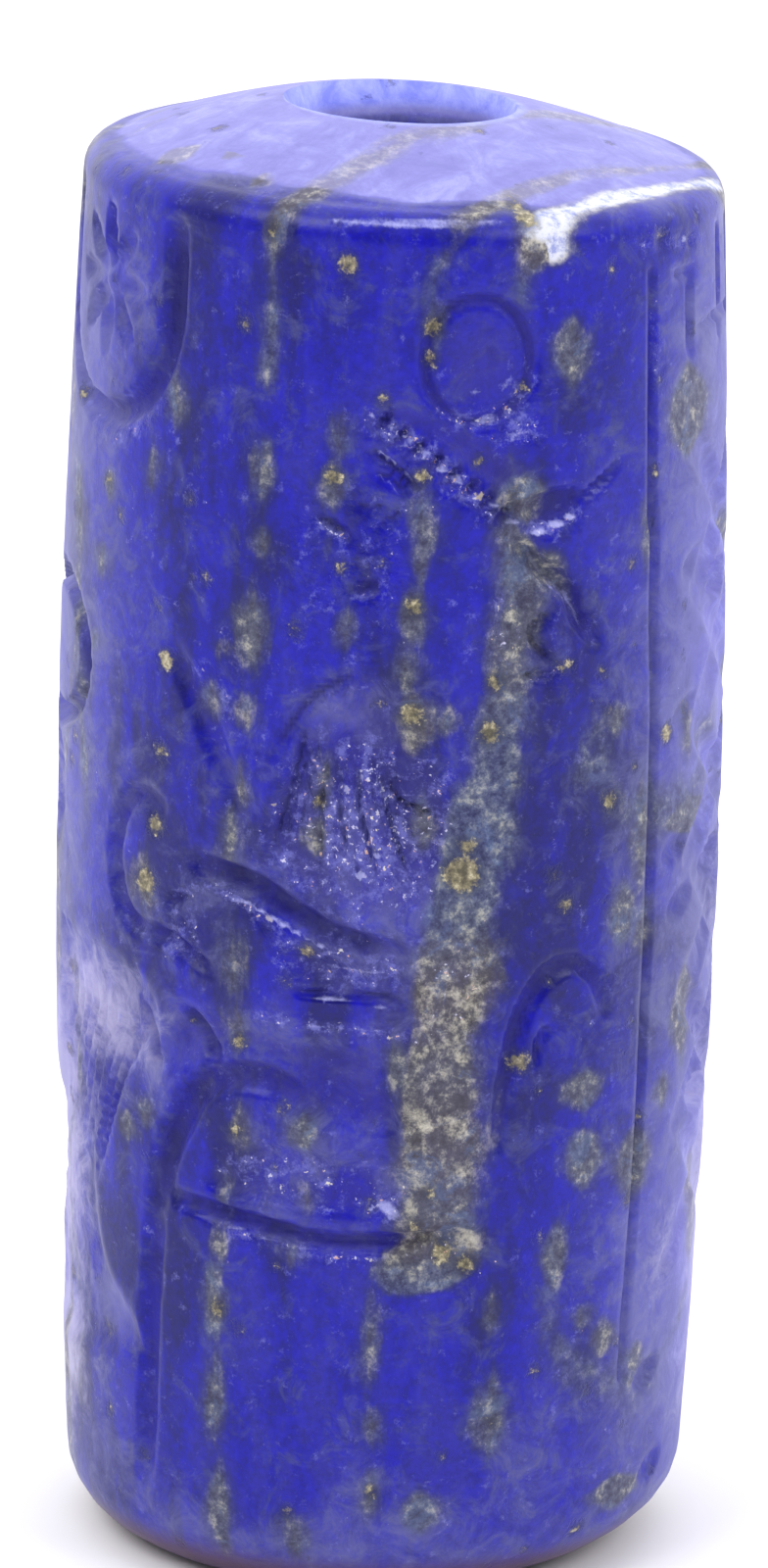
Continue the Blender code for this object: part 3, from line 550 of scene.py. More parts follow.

# Ground gone chalky at the limbs, lightened further there as painted sheen: place on the sheet, half its
# width and height, and how much
CHALKY_AND_SHEEN = [
    (-12.8, 10.5, 3.2, 5.2, 1.15), (-12.8, 4.8, 3.0, 2.4, 1.1), (-9.4, 14.6, 3.4, 1.7, 0.85),
    (12.8, 9.0, 2.6, 7.5, 0.75), (9.2, 8.5, 1.2, 2.0, 0.5), (12.6, 17.0, 2.0, 3.0, 0.5),
    (-12.6, 20.0, 2.2, 3.0, 0.4)]

# Ground that kept its polish between the cuts: place on the sheet, half its width and height
POLISHED = [
    (-3.1, 17.4, 0.8, 0.8), (-1.5, 16.0, 0.8, 0.28), (-0.85, 11.0, 0.6, 0.5), (5.0, 15.8, 0.7, 0.9),
    (5.7, 31.6, 1.5, 3.0), (0.6, 27.6, 1.5, 1.6), (4.4, 21.0, 1.1, 3.6), (-2.6, 27.0, 0.8, 2.2),
    (3.6, 11.0, 0.7, 2.4), (-3.0, 5.0, 1.4, 2.5), (1.6, 6.0, 1.6, 2.2), (-5.4, 30.5, 2.0, 2.6),
    (-1.6, 33.0, 1.2, 1.6), (-4.9, 12.0, 0.7, 0.8), (0.6, 21.8, 0.7, 0.9), (-10.4, 4.5, 1.4, 0.7),
    (-7.3, 9.6, 0.9, 1.6), (-4.9, 7.0, 1.4, 3.0)]


def broken_at(u, v):
    """How chipped the stone is at each place, from 0 to 1: where the tools tore it most."""
    broken = Frieze(u, v)
    for line, width, much in (
            ([(-0.7, 31.0), (0.6, 30.2), (1.7, 29.3), (2.9, 28.3)], 0.9, 1.0),
            ([(0.9, 31.4), (1.9, 31.0), (2.9, 31.3), (3.3, 32.3)], 0.9, 0.9),
            ([(3.1, 28.2), (4.2, 28.2), (5.2, 28.6)], 0.5, 1.0),
            ([(3.6, 27.1), (4.6, 26.4), (5.4, 25.3)], 0.4, 0.9),
            ([(3.4, 24.5), (4.4, 24.4)], 0.6, 0.8),
            ([(-2.1, 28.4), (-1.1, 27.9)], 0.4, 1.0),
            ([(-6.2, 18.1), (-5.6, 18.4), (-4.6, 18.7), (-3.5, 18.4), (-2.6, 17.7), (-1.6, 17.3)], 0.5, 1.0),
            ([(-3.6, 15.6), (-2.0, 15.5), (0.2, 15.3), (2.4, 15.2)], 0.6, 0.8),
            ([(-5.0, 9.9), (-2.6, 9.6), (-1.0, 9.4), (0.6, 9.5), (2.8, 9.7)], 0.35, 0.9),
            ([(7.5, 33.0), (7.6, 31.0)], 0.6, 0.6),
            ([(6.4, 35.3), (8.0, 35.1), (10.0, 34.8)], 0.5, 0.8),
            (arc(-9.35, 32.95, 3.5, 3.5, -100, -20), 0.6, 0.6)):
        broken.stroke(line, width, much)
    for spot in (
            (3.2, 30.7, 1.4, 1.0, 20, 0.9), (2.8, 25.8, 1.2, 2.6, 0, 0.7), (-1.0, 27.4, 3.6, 5.6, 0, 0.35),
            (-0.6, 20.6, 5.8, 5.6, 90, 1.0), (0.6, 20.6, 1.0, 3.0, 20, 0.9),
            (-1.0, 17.1, 4.2, 1.6, -8, 0.8), (-5.6, 17.2, 1.6, 1.8, 0, 0.7), (1.8, 16.6, 1.8, 2.6, 0, 0.9),
            (-2.0, 11.4, 5.4, 1.7, 0, 0.75), (0.2, 11.0, 1.8, 1.2, 0, 1.0), (1.8, 9.7, 2.2, 1.0, 0, 0.9),
            (-4.6, 23.4, 1.6, 2.6, 20, 0.45), (9.0, 30.4, 2.6, 3.0, 0, 0.4)):
        broken.scoop(*spot)
    return broken.depth


def patches_at(u, v, patches):
    """The strongest of some soft patches at each place of the sheet."""
    found = np.zeros(u.shape)
    for at_u, at_v, wide, tall, much in patches:
        du = (u - at_u + SHEET_TURN / 2) % SHEET_TURN - SHEET_TURN / 2
        found = np.maximum(found, much * np.exp(-(du / wide) ** 2 - ((v - at_v) / tall) ** 2))
    return found


def worn_at(u, v):
    """How far the polish has gone at each place of the sheet, from 0 to 1."""
    worn = patches_at(u, v, WORN)
    for at_u, at_v, wide, tall in POLISHED:
        kept = np.exp(-((u - at_u) / wide) ** 2 - ((v - at_v) / tall) ** 2)
        worn = worn * (1 - kept) - 0.8 * kept
    return worn


def bright_edges_at(u, v):
    """Painted highlights on edges and small chips, from 0 to 1 and more."""
    bright = Frieze(u, v)
    for i in range(9):
        share = (i - 0.5) / 7
        long = 0.46 + 0.16 * math.sin(4 * i)
        at_v = 30.92 - 2.3 * share + 0.07 * math.sin(3 * i)
        bright.scoop(-0.45 + 3.2 * share, at_v, long, 0.26, 50 - 14 * i % 60, 1.15 + 0.2 * math.sin(5 * i))
    for i in range(11):
        share = i / 10
        top = (-1.95 + 2.3 * share, 22.4 - 0.6 * share - 0.5 * (i % 3))
        foot = (-2.75 + 4.2 * share, 20.2 - 1.2 * math.sin(math.pi * share) + 0.6 * (i % 2))
        bright.stroke([top, foot], 0.16, 0.75, tip=0.3)
    for line, width, much in (
            ([(-0.75, 31.05), (0.6, 30.3), (1.9, 29.25), (2.7, 28.6)], 0.26, 0.75),
            ([(-0.6, 30.3), (0.05, 29.8), (0.5, 29.3)], 0.16, 1.2),
            ([(-0.75, 29.75), (-0.1, 29.35), (0.3, 28.95)], 0.14, 1.0),
            ([(3.4, 28.05), (4.2, 28.22), (4.9, 28.5)], 0.2, 1.6),
            ([(4.9, 28.45), (5.5, 28.25)], 0.14, 0.9),
            ([(5.2, 28.8), (6.1, 29.7)], 0.14, 0.7),
            ([(3.3, 27.9), (4.1, 26.85), (4.7, 26.4), (5.05, 25.85), (5.4, 25.3)], 0.22, 1.0),
            ([(3.95, 26.2), (3.6, 25.6), (3.45, 25.1)], 0.16, 0.8),
            ([(3.4, 24.45), (4.3, 24.35)], 0.16, 1.0),
            (arc(-9.35, 32.95, 3.4, 3.4, -130, -30), 0.3, 0.3),
            ([(-11.2, 16.6), (-8.2, 16.65), (-6.6, 16.1), (-5.6, 15.9)], 0.8, 0.55),
            ([(-4.7, 18.6), (-3.7, 18.5), (-2.8, 18.15), (-2.0, 17.75), (-1.0, 17.3)], 0.22, 1.1),
            ([(-2.2, 17.1), (-0.9, 17.0), (0.4, 17.05)], 0.3, 0.9),
            ([(-2.2, 16.15), (-0.95, 16.2), (0.4, 16.0)], 0.16, 1.0),
            ([(-3.7, 15.5), (-2.4, 15.45), (-0.8, 15.5), (0.5, 15.6)], 0.26, 0.7),
            ([(-5.0, 10.1), (-3.4, 9.85), (-1.8, 9.6), (-0.4, 9.5)], 0.18, 0.8)):
        bright.stroke(line, width, much)
    for spot in (
            (2.0, 31.7, 0.7, 0.4, 20, 0.9), (2.85, 31.9, 0.8, 0.4, 50, 0.9),
            (2.3, 31.0, 0.8, 0.4, 10, 1.0), (3.1, 30.6, 1.1, 0.5, 10, 0.9),
            (-0.4, 11.9, 1.0, 0.5, 20, 0.8), (-2.9, 11.0, 1.4, 0.6, 10, 0.7),
            (0.25, 10.75, 0.9, 0.5, -30, 1.2)):
        bright.scoop(*spot)
    return 1.2 * bright.depth


# The stone's mesh

def stood(name, data):
    """An object of this name in the scene, made from its mesh, lamp or lens."""
    thing = bpy.data.objects.new(name, data)
    bpy.context.scene.collection.objects.link(thing)
    return thing


def barrel_radius(z):
    """Radius of the side at height z: fullest at the belly, drawn in towards both ends."""
    if z > BELLY_HEIGHT:
        share = (z - BELLY_HEIGHT) / (SHOULDER_HEIGHT - BELLY_HEIGHT)
        lost = BELLY_DIAMETER - SHOULDER_DIAMETER
    else:
        share = (BELLY_HEIGHT - z) / BELLY_HEIGHT
        lost = BELLY_DIAMETER - FOOT_DIAMETER
    return (BELLY_DIAMETER - lost * share ** BARREL_POWER) / 2


def spaced(start, end, pitch):
    """Values from start to end, as near this pitch as whole steps allow."""
    count = max(2, round(abs(end - start) / pitch))
    return [start + (end - start) * i / count for i in range(count + 1)]


def stone_profile():
    """Half section as (radius, height): over the crown, down the side, under, up the bore."""
    bore = BORE_DIAMETER / 2
    mouth = MOUTH_DIAMETER / 2
    foot = barrel_radius(FOOT_ROUND)
    rim = barrel_radius(SHOULDER_HEIGHT - SHOULDER_ROUND) - SHOULDER_ROUND
    quarter = [math.pi / 2 * i / (EDGE_ROWS - 1) for i in range(EDGE_ROWS)]
    points = []
    crown = spaced(mouth, rim - SHOULDER_ROUND, CROWN_PITCH)[:-1]
    for radius in crown + spaced(rim - SHOULDER_ROUND, rim, ROW_PITCH)[:-1]:
        fall = ((radius - mouth) / (rim - mouth)) ** CROWN_POWER
        points.append((radius, SHOULDER_HEIGHT + CROWN_RISE * (1 - fall)))
    for turn in quarter:
        across = rim + SHOULDER_ROUND * math.sin(turn)
        points.append((across, SHOULDER_HEIGHT - SHOULDER_ROUND * (1 - math.cos(turn))))
    for z in spaced(SHOULDER_HEIGHT - SHOULDER_ROUND, FOOT_ROUND, ROW_PITCH)[1:-1]:
        points.append((barrel_radius(z), z))
    for turn in quarter:
        points.append((foot - FOOT_ROUND * (1 - math.cos(turn)), FOOT_ROUND * (1 - math.sin(turn))))
    points.append((mouth, 0.0))
    top = SHOULDER_HEIGHT + CROWN_RISE
    for z in spaced(MOUTH_DEPTH, top - MOUTH_DEPTH, BORE_PITCH):
        points.append((bore, z))
    points.append(((bore + mouth) / 2, top - MOUTH_DEPTH / 2))
    return np.array(points)


def column_turns():
    """Angles of the mesh's columns, closer together on the front."""
    front = math.radians(FRONT_HALF_TURN)
    belly = BELLY_DIAMETER / 2
    near = spaced(-front, front, FRONT_PITCH / belly)
    far = spaced(front, 2 * math.pi - front, BACK_PITCH / belly)[1:-1]
    return np.array(near + far)


def rough(places, layers):
    """Smooth noise at many places, in layers that each have a height, a lump size and a seed."""
    total = np.zeros(len(places))
    for height, size, seed in layers:
        shift = Vector((seed * 17.3, seed * 5.1, seed * 9.7))
        total += height * np.array([noise.noise(Vector(p) / size + shift) for p in places])
    return total


def among_all(chosen, values):
    """The values of some chosen places among all the stone's, with nothing at the others."""
    everywhere = np.zeros(chosen.shape)
    everywhere[chosen] = values
    return everywhere


def rubbed(worn, most):
    """What is left of a mark where the ground is worn, when full wear takes this share of it."""
    return 1 - most * np.clip(worn, 0, 1)


def wear(u, v, z, reach, places, side):
    """How far the polish has gone: on the side, on the powdery crown and in the bore, with painted light in
    the bore and under the rim.
    """
    top = z > SHOULDER_HEIGHT - SHOULDER_ROUND
    # The powder comes further over the crease towards the right and the left of the front
    sharp = np.exp(-((u - SHARP_CREASE[0]) / SHARP_CREASE[1]) ** 4)
    edge = CREASE_RADIUS - 0.22 + 0.60 * np.clip((u - 2.5) / 3, 0, 1) + 0.40 * np.clip((-u - 6) / 4, 0, 1)
    edge[top] += rough(places[top], CREASE_WANDER)
    soft = CREASE_SOFT + 0.5 * (1 - sharp)
    crown = 1.35 * np.clip(0.5 + (edge - reach) / soft, 0, 1) * top
    # A painted band of light just under the rim: the ground there is given as kept polish, a vivid blue,
    # standing in for light from above falling on the shoulder
    painted_light_under_rim = 1.3 * np.exp(-((z - SHOULDER_HEIGHT + 0.70) / 0.70) ** 2) * (reach > CREASE_RADIUS)
    worn = np.where(side, worn_at(u, v), 0.0)
    worn = np.maximum(worn * (1 - painted_light_under_rim) - painted_light_under_rim, crown)
    # In the bore: drill powder, made lighter towards the mouth as painted light, where light from above
    # comes in
    drilled = (reach < MOUTH_DIAMETER / 2 + NEAR) & (z > NEAR)
    return np.where(drilled, 0.3 + 1.7 * np.clip((z - SHOULDER_HEIGHT - 0.1) / 0.7, 0, 1), worn)


def lips(u, v, z, reach, side, depth, worn):
    """Painted highlights on edges: the lower lips of cuts, bruised edges and the crease at the front."""
    slope = np.zeros(depth.shape)
    slope[1:-1] = (depth[:-2] - depth[2:]) / (2 * ROW_PITCH)
    depth = depth.ravel()
    # A painted highlight on the lower lip of each cut, which faces up towards the light
    lip = 0.6 * np.clip(slope.ravel() * 1.2, 0, 1) * np.clip(1.3 - depth / 0.25, 0, 1)
    edges = among_all(side, bright_edges_at(u[side], v[side]))
    # A painted highlight along the crease at the front
    painted_crease_highlight = np.exp(-((z - SHOULDER_HEIGHT + 0.26) / 0.15) ** 2) * (reach > CREASE_RADIUS)
    painted_crease_highlight = painted_crease_highlight * np.exp(-((u - 0.4) / 2.8) ** 4)
    return np.maximum(np.maximum(lip * rubbed(worn, LIP_WEAR), edges), 1.35 * painted_crease_highlight)


def carved_stone():
    """The stone, turned, drilled and carved, with what its material reads laid out on its mesh."""
    profile = stone_profile()
    turns = column_turns()
    rows, columns = len(profile), len(turns)
    reach = np.repeat(profile[:, 0], columns)
    v = np.repeat(profile[:, 1], columns)
    turn = np.tile(turns, rows)
    u = ((turn + math.pi) % (2 * math.pi) - math.pi) / (2 * math.pi) * SHEET_TURN
    places = np.stack([reach * np.sin(turn), -reach * np.cos(turn), v], -1)
    side = reach > FOOT_DIAMETER / 2 - FOOT_ROUND
    outer = reach > MOUTH_DIAMETER / 2 + 0.05

    depth = among_all(side, carve(u[side], v[side]))
    broken = among_all(side, broken_at(u[side], v[side]))
    torn = np.maximum(broken, 0.4 * np.clip(depth / 0.15, 0, 1))
    gritty = side & (torn > NEAR)
    swell = among_all(outer, rough(places[outer], SWELL))
    chips = among_all(gritty, rough(places[gritty], CHIPS))
    shift = np.where(v > NEAR, swell - depth + (chips - CHIP_LOSS) * torn, 0.0)
    # The foot is worn most at its right
    low = np.clip(1 - v / FOOT_WEAR_HEIGHT, 0, 1) * side
    shift = shift - FOOT_WEAR * low ** 2 * np.clip(np.sin(turn), 0, 1)

    radius = np.minimum(reach + shift, BELLY_DIAMETER / 2)
    x = radius * np.sin(turn)
    y = -radius * np.cos(turn)
    upper_fifth = np.clip(v / SHOULDER_HEIGHT * 5 - 4, 0, 1)
    z = v - CROWN_OUT_OF_SQUARE * x / (SHOULDER_DIAMETER / 2) * upper_fifth
    mouth = np.clip((z - SHOULDER_HEIGHT) / CROWN_RISE, 0, 1) * ~outer
    x = x - MOUTH_WEAR * mouth * np.clip(-x / (MOUTH_DIAMETER / 2), 0, 1)

    index = np.arange(rows * columns).reshape(rows, columns)
    after = np.roll(index, -1, axis=1)
    below = np.roll(index, -1, axis=0)
    faces = np.stack([index, below, np.roll(below, -1, axis=1), after], -1).reshape(-1, 4)
    mesh = bpy.data.meshes.new("seal_stone_carved")
    mesh.from_pydata((np.stack([x, y, z], -1) * METRE).tolist(), [], faces.tolist())

    veins, cream = veins_at(x, y, z, np.where(side, u, OFF_SHEET), v)
    worn = wear(u, v, z, reach, places, side)
    layers = {
        "cut": depth * rubbed(worn, CUT_WEAR), "worn": worn, "broken": broken, "vein": veins, "cream": cream,
        "chalk": np.where(side, patches_at(u, v, CHALKY_AND_SHEEN), 0.0),
        "grain": np.where(side, grains_at(u, v), -1.0),
        "lip": lips(u, v, z, reach, side, depth.reshape(rows, columns), worn)}
    for name, values in layers.items():
        layer = mesh.attributes.new(name, "FLOAT", "POINT")
        layer.data.foreach_set("value", values.astype(np.float32))
    mesh.shade_smooth()
    mesh.update()
    return stood("seal_stone_carved", mesh)


# Materials

def linear(hex_colour):
    """An sRGB colour such as #1d4fa0, as the linear values that a shader takes."""
    values = []
    for start in (1, 3, 5):
        s = int(hex_colour[start:start + 2], 16) / 255
        values.append(s / 12.92 if s <= 0.04045 else ((s + 0.055) / 1.055) ** 2.4)
    return (*values, 1.0)


def per_metre(size_mm):
    """Pattern scale that makes one lump or cell this many millimetres across."""
    return 1.0 / (size_mm * METRE)


def add(tree, kind, settings=None, output=0):
    """Adds a shader node with its settings and links, and gives back one of its outputs.

    A setting is named as the node or its input is, or numbered as the input is. One that is another
    node's output is linked, and a colour is an sRGB hex value. The stops of a ramp are hex colours
    or greys from 0 to 1.
    """
    node = tree.nodes.new("ShaderNode" + kind)
    for name, value in (settings or {}).items():
        if isinstance(value, str) and value.startswith("#"):
            value = linear(value)
        if name == "stops":
            ramp = node.color_ramp
            while len(ramp.elements) < len(value):
                ramp.elements.new(0.5)
            for element, (place, colour) in zip(ramp.elements, value):
                element.position = place
                element.color = linear(colour) if isinstance(colour, str) else (colour,) * 3 + (1.0,)
        elif isinstance(value, bpy.types.NodeSocket):
            tree.links.new(value, node.inputs[name])
        elif isinstance(name, int) or name in node.inputs:
            node.inputs[name].default_value = value
        else:
            setattr(node, name, value)
    return node.outputs[output] if node.outputs else None


def lapis_lazuli():
    """Polished lapis lazuli: deep mottled ultramarine with grey calcite veins and pyrite.

    The eye sees a dense blue that the polish deepens, violet-grey cut ground, ragged grey-green
    veins, dull gold grains in dark stains, and bright crystal points where the tools tore it, partly painted
    glints.
    """
    material = bpy.data.materials.new("lapis_lazuli")
    material.use_nodes = True
    tree = material.node_tree
    tree.nodes.clear()

    def gathered(start, *terms):
        """A start, which is a number or an output, plus each term's output times its weight."""
        total = start
        for value, weight in terms:
            total = add(tree, "Math", {"operation": "MULTIPLY_ADD", 0: value, 1: weight, 2: total})
        return total

    def coat(below, value, low, high, most, above):
        """Lays a colour over another as the value goes from low to high, and gives its amount too."""
        amount = add(tree, "MapRange", {"interpolation_type": "SMOOTHSTEP", "Value": value,
                                        "From Min": low, "From Max": high, "To Max": most})
        colour = add(tree, "Mix", {"data_type": "RGBA", 0: amount, 6: below, 7: above}, 2)
        return colour, amount

    # What the mesh says of each place
    cut, worn, chalk, vein, cream, grain, broken, lip = (
        add(tree, "Attribute", {"attribute_name": name}, "Fac")
        for name in ("cut", "worn", "chalk", "vein", "cream", "grain", "broken", "lip"))

    # Places in the stone, and the same with patterns drawn out 3 and 5 times along its bedding
    where = add(tree, "TexCoord", output="Object")
    height = add(tree, "SeparateXYZ", {0: where}, "Z")
    drawn, long_drawn = (
        add(tree, "Mapping", {"vector_type": "TEXTURE", "Scale": (1.0, stretch, stretch),
                              "Rotation": (0, 0, -math.radians(BEDDING_TURN)), "Vector": where})
        for stretch in (3.0, 5.0))

    # Lumps in the stone: size in millimetres, detail, roughness, distortion and where they lie
    (fine, flecks_and_glints, speckle, bruise, tints, veil, haze, clouds, wisps, beds, masses, ragged) = (
        add(tree, "TexNoise", {"Scale": per_metre(size), "Detail": detail, "Roughness": roughness,
                               "Distortion": distortion, "Vector": places})
        for size, detail, roughness, distortion, places in (
            (0.12, 3.0, 0.80, 0.0, where),        # crystal grit
            (0.12, 2.0, 0.60, 0.0, where),        # flecks that catch the light
            (0.25, 4.0, 0.75, 0.0, where),        # grains of lazurite
            (0.40, 5.0, 0.78, 0.0, where),        # blotches where the tools tore it
            (0.50, 1.0, 0.50, 0.0, where),        # tints of the flecks
            (0.50, 6.0, 0.76, 0.0, where),        # the veins' filling
            (1.10, 7.0, 0.74, 0.6, where),        # thin calcite
            (1.40, 6.0, 0.74, 0.8, where),        # clouds in worn ground
            (0.80, 6.0, 0.66, 0.0, long_drawn),   # and their wisps
            (4.50, 2.0, 0.50, 0.0, drawn),        # the stone's beds
            (1.20, 5.0, 0.60, 0.3, drawn),        # masses of lazurite
            (0.90, 6.0, 0.66, 0.0, drawn)))       # the veins' ragged edges

    # Crystals: small cells with crumbled edges
    crumbs = add(tree, "TexNoise", {"Scale": per_metre(0.16), "Detail": 2.0, "Roughness": 0.7,
                                    "Vector": where}, "Color")
    crumbled = add(tree, "VectorMath", {"operation": "MULTIPLY_ADD", 0: crumbs,
                                        1: (0.32 * METRE,) * 3, 2: where})

    def crystals(size):
        """Cells this many millimetres across: how far a place is from the middle, and two chances."""
        far = add(tree, "TexVoronoi", {"Scale": per_metre(size), "Randomness": 1.0,
                                       "Vector": crumbled}, "Distance")
        chances = add(tree, "SeparateColor", {"Color": far.node.outputs["Color"]}).node.outputs
        return far, chances[0], chances[1]

    # Pyrite: the mesh's grains, and a scatter of small ones in crystals 1.1 mm across
    far, chance, tint = crystals(1.1)
    chosen = add(tree, "MapRange", {"Value": chance, "From Min": 0.55, "From Max": 1.0,
                                    "To Min": -0.05, "To Max": 0.17})
    grains = add(tree, "Math", {"operation": "MAXIMUM", 0: grain, 1: gathered(chosen, (far, -1.0))})
    pyrite = gathered(-0.35, (speckle, 0.7), (grains, 1.0))

    # Chips: crystals 0.45 mm across, larger and more of them where the stone is broken
    far, chance, tint = crystals(0.45)
    chip_size = add(tree, "MapRange", {"Value": gathered(chance, (broken, 0.6)), "From Min": 0.95,
                                       "From Max": 1.5, "To Min": -0.05, "To Max": 0.30})

    # Colours that follow a pattern, with the pattern's value at each
    mottled = gathered(-0.25, (masses, 0.9), (beds, 0.6))
    clouded = gathered(-0.1, (wisps, 0.4), (clouds, 0.8))
    blue, powder, grey, bore_powder_and_light, quartz, gold, pale, chip_colours = (
        add(tree, "ValToRGB", {"Fac": pattern, "stops": stops}) for pattern, stops in (
            (mottled, ((0.38, "#040268"), (0.46, "#060486"), (0.54, "#0b079e"), (0.64, "#1d1b96"))),
            (clouded, ((0.38, "#4340b2"), (0.47, "#5e5ac2"), (0.54, "#7070d0"), (0.64, "#989ae4"))),
            (veil, ((0.38, "#2c3050"), (0.47, "#495069"), (0.54, "#616876"), (0.64, "#96988f"))),
            (haze, ((0.40, "#7a84ee"), (0.60, "#a4acfa"))),
            (veil, ((0.40, "#9ca6e0"), (0.52, "#dfe2f4"))),
            (speckle, ((0.38, "#57523f"), (0.48, "#756e55"), (0.57, "#958b6c"), (0.68, "#cfc6a6"))),
            (tints, ((0.40, "#c4c2e2"), (0.50, "#d4d2ea"), (0.56, "#d9a489"), (0.62, "#e2dccb"))),
            (tint, ((0.0, "#7a7cc4"), (0.5, "#9a9cd0"), (0.72, "#b3a48a"), (1.0, "#dcdae8")))))

    # Ground: lazurite in masses about 1.2 mm across, over grains of 0.25 mm
    speckle_light = add(tree, "MapRange", {"Value": speckle, "From Min": 0.36, "From Max": 0.64,
                                           "To Min": 0.74, "To Max": 1.21})
    ground = add(tree, "VectorMath", {"operation": "SCALE", 0: blue, "Scale": speckle_light})

    # Vein filling: grey-green calcite with olive earth, blue patches, and cream where it is thick
    olive = add(tree, "Mix", {"data_type": "RGBA", 0: gathered(0.0, (cream, 0.80)), 6: grey,
                              7: "#5a5340"}, 2)
    blue_calcite = coat(olive, haze, 0.53, 0.61, 0.34, "#56709f")[0]
    creamy = coat(blue_calcite, gathered(-3.05, (veil, 5.0), (cream, 1.0)), 0.0, 1.2, 0.90, "#bab5a2")[0]
    gritty = gathered(-0.20, (gathered(speckle, (fine, 0.6)), 1.5))
    filling = add(tree, "VectorMath", {"operation": "SCALE", 0: creamy, "Scale": gritty})

    # Coats over the ground: the value that lays each, from and to, the most of it, and its colour
    inside = gathered(-0.88, (ragged, 1.7), (vein, 1.0))
    worked = add(tree, "MapRange", {"interpolation_type": "SMOOTHSTEP", "Value": cut,
                                    "From Min": 0.03, "From Max": 0.22})
    flecked = gathered(-0.49, (broken, 0.20), (bruise, 0.8), (flecks_and_glints, 1.0))
    chipped = gathered(gathered(chip_size, (far, -1.0)), (fine, 0.35))
    coats = {
        "stain along the veins": (inside, -0.50, 0.05, 0.45, "#1d2148"),
        "thin calcite": (gathered(haze, (worn, 0.06)), 0.49, 0.70, 0.55, "#3c4274"),
        "rubbed ground": (gathered(-0.75, (worn, 1.0), (haze, 1.5)), 0.0, 1.3, 0.78, "#7272b0"),
        "powdery ground": (gathered(-0.45, (worn, 1.0), (haze, 0.9)), 0.90, 1.35, 0.88, powder),
        # chalky ground, lightened at the limbs as painted sheen
        "chalky ground and painted sheen": (gathered(-0.8, (chalk, 1.0), (haze, 1.6)), 0.25, 1.05, 0.88, "#aaa5ca"),
        # kept polish, and in the band under the rim painted light
        "kept polish and painted light under the rim": (worn, 0.0, -1.2, 0.88, "#130dc4"),
        "matt cut ground": (gathered(-0.75, (worked, 1.0), (haze, 1.5)), 0.1, 1.2, 0.42, "#353080"),
        # painted shade: darker in the deep cuts, where shadow falls
        "painted shade in deep cuts": (cut, 0.20, 0.50, 0.28, "#17173c"),
        "bruises": (gathered(bruise, (broken, 0.14), (worn, 0.02)), 0.57, 0.76, 0.60, "#7274c6"),
        # painted highlights on the lips of cuts, on edges and along the crease, broken up by bruises
        "painted highlights on edges": (gathered(-1.2, (lip, 1.0), (bruise, 1.5)), 0.25, 1.05, 0.84, "#a6a8e2"),
        "vein": (inside, -0.20, 0.34, 0.80, filling),
        "powder on worn veins": (worn, 1.0, 1.4, 0.45, "#9c9ac6"),
        # drill powder, with painted light growing towards the mouth of the bore
        "drill powder and painted light in the bore": (worn, 1.3, 2.0, 0.90, bore_powder_and_light),
        "white quartz": (gathered(-30.0, (cream, 30.0), (inside, 1.0)), -0.10, 0.55, 0.80, quartz),
        "stain round pyrite": (pyrite, -0.16, 0.04, 0.50, "#262a3e"),
        "pyrite": (pyrite, 0.0, 0.14, 0.85, gold),
        # pale crystal flecks, partly painted glints
        "flecks_and_glints": (flecked, 0.73, 0.80, 0.85, pale),
        "chips": (chipped, 0.14, 0.28, 0.88, chip_colours),
        # painted shade: dark red-brown along the foot's lower edge, where the stone meets the table
        "painted shade round the foot": (height, 1.5 * METRE, 0.5 * METRE, 0.90, "#4a2236")}
    colour = ground
    amounts = {}
    for name, laid in coats.items():
        colour, amounts[name] = coat(colour, *laid)

    # Finish: a soft old polish, matt in the cuts, on the veins and where handling has worn it
    duller = worn
    for amount in (worked, amounts["vein"]):
        duller = add(tree, "Math", {"operation": "MAXIMUM", 0: duller, 1: amount})
    roughness = add(tree, "MapRange", {"Value": duller, "To Min": 0.30, "To Max": 0.56})

    # Relief: grit up to 0.085 mm high where the stone is broken, and a dip of 0.05 mm at pyrite stains
    torn = add(tree, "Math", {"operation": "MAXIMUM", 0: broken, 1: gathered(0.0, (worked, 0.5))})
    grit = add(tree, "MapRange", {"Value": torn, "To Min": 0.012, "To Max": 0.085})
    relief = add(tree, "Math", {"operation": "MULTIPLY", 0: speckle, 1: grit})
    dipped = gathered(relief, (amounts["stain round pyrite"], -0.05))
    bump = add(tree, "Bump", {"Strength": 0.9, "Distance": METRE, "Height": dipped})
    stone = add(tree, "BsdfPrincipled", {
        "Base Color": colour, "Roughness": roughness, "Metallic": gathered(0.0, (amounts["pyrite"], 0.20)),
        "IOR": 1.50, "Specular IOR Level": 0.30, "Sheen Weight": 0.20, "Sheen Roughness": 0.45,
        "Sheen Tint": "#b9b8e8", "Normal": bump})
    add(tree, "OutputMaterial", {"Surface": stone})
    return material


def white_card():
    """Matt white card under the stone, which gives the eye a clean ground."""
    material = bpy.data.materials.new("white_card")
    material.use_nodes = True
    tree = material.node_tree
    tree.nodes.clear()
    card = add(tree, "BsdfPrincipled", {"Base Color": "#f4f3f6", "Roughness": 0.9})
    add(tree, "OutputMaterial", {"Surface": card})
    return material


# The seal
seal = carved_stone()
seal.data.materials.append(lapis_lazuli())
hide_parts("seal_stone")
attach(seal, "root")


# Table, light and camera, with places and sizes in metres down to the camera

TABLE_HALF = 1.5
table_mesh = bpy.data.meshes.new("table")
corners = [(side * TABLE_HALF, end * TABLE_HALF, 0) for side, end in ((-1, -1), (1, -1), (1, 1), (-1, 1))]
table_mesh.from_pydata(corners, [], [(0, 1, 2, 3)])
table_mesh.materials.append(white_card())
stood("table", table_mesh)

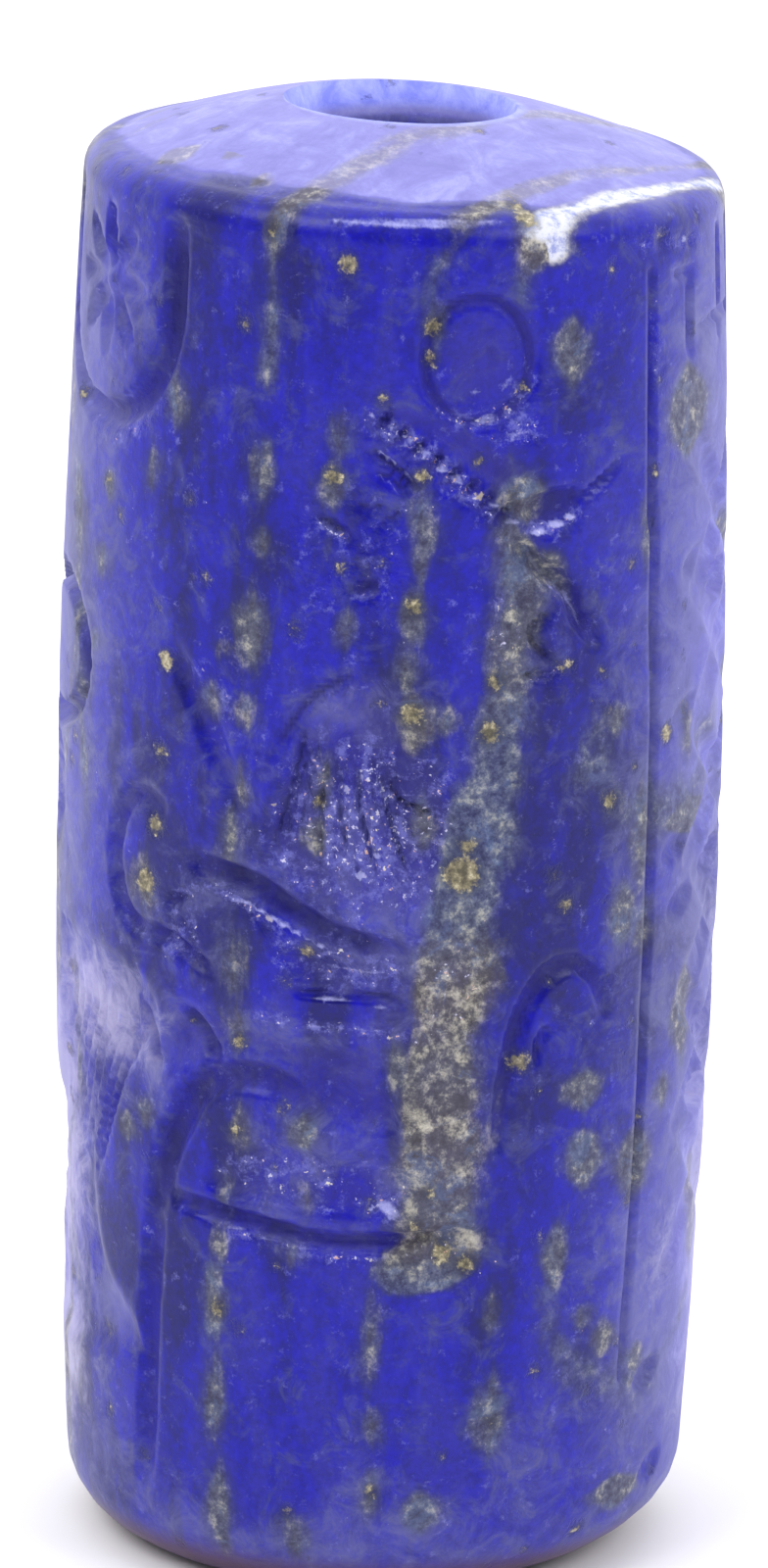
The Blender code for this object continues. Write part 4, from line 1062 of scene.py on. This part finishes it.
# A light tent, dark in front and below and bright above and behind: its greys follow a direction
# that leans back from upright by about 46 degrees, and TENT_REACH is as far as one goes along it
TENT_LEAN = 0.95
TENT_REACH = 1.38
world = bpy.data.worlds.new("light_tent")
bpy.context.scene.world = world
world.use_nodes = True
sky = world.node_tree
sky.nodes.clear()
direction = add(sky, "TexCoord", output="Generated")
axes = add(sky, "SeparateXYZ", {0: direction}).node.outputs
raised = add(sky, "Math", {"operation": "MULTIPLY_ADD", 0: axes["Z"], 1: TENT_LEAN, 2: axes["Y"]})
ahead = add(sky, "MapRange", {"Value": raised, "From Min": -TENT_REACH, "From Max": TENT_REACH})
greys = add(sky, "ValToRGB", {"Fac": ahead, "stops": (
    (0.08, 0.03), (0.26, 0.10), (0.50, 0.42), (0.88, 1.0))})
tent = add(sky, "Background", {"Color": greys, "Strength": 1.65})
add(sky, "OutputWorld", {"Surface": tent})


def softbox(name, place, size, power):
    """A square soft light aimed at the middle of the stone."""
    lamp = bpy.data.lights.new(name, "AREA")
    lamp.shape = "SQUARE"
    lamp.size = size
    lamp.energy = power
    light = stood(name, lamp)
    light.location = place
    aim = Vector((0, 0, STONE_HEIGHT * METRE / 2)) - Vector(place)
    light.rotation_euler = aim.to_track_quat("-Z", "Y").to_euler()


softbox("upper_left", (-0.22, -0.20, 0.34), 0.22, 0.75)
softbox("upper_right", (0.26, -0.16, 0.26), 0.18, 0.45)

# The photograph's view, in millimetres, degrees and the photograph's pixels: worked out from the
# stone's outline, rim and bore mouth
PHOTO_SIZE = (784, 1600)
CAMERA_AWAY = 251.5
CAMERA_DOWN = 15.23
CAMERA_ROLL = 1.46
FOCAL_PIXELS = 10003
STONE_MIDDLE_PIXEL = (395.7, 858.8)
SENSOR = 36.0

down = math.radians(CAMERA_DOWN)
roll = math.radians(CAMERA_ROLL)
forward = Vector((0, math.cos(down), -math.sin(down)))
level = Vector((1, 0, 0))
upright = level.cross(forward)
across = level * math.cos(roll) + upright * math.sin(roll)
upward = upright * math.cos(roll) - level * math.sin(roll)
middle = Vector((0, 0, SHOULDER_HEIGHT / 2))
eye = middle - forward * CAMERA_AWAY
off_x = (STONE_MIDDLE_PIXEL[0] - PHOTO_SIZE[0] / 2) / FOCAL_PIXELS
off_y = (STONE_MIDDLE_PIXEL[1] - PHOTO_SIZE[1] / 2) / FOCAL_PIXELS
aim = (forward - across * off_x + upward * off_y).normalized()
right = (across - aim * across.dot(aim)).normalized()
top = right.cross(aim)
lens = bpy.data.cameras.new("camera")
lens.sensor_width = SENSOR
lens.lens = FOCAL_PIXELS / PHOTO_SIZE[1] * SENSOR
lens.clip_start = 0.01
lens.clip_end = 20
camera = stood("camera", lens)
camera.matrix_world = Matrix.Translation(eye * METRE) @ Matrix((right, top, -aim)).transposed().to_4x4()
bpy.context.scene.camera = camera
bpy.context.scene.view_settings.view_transform = "Standard"
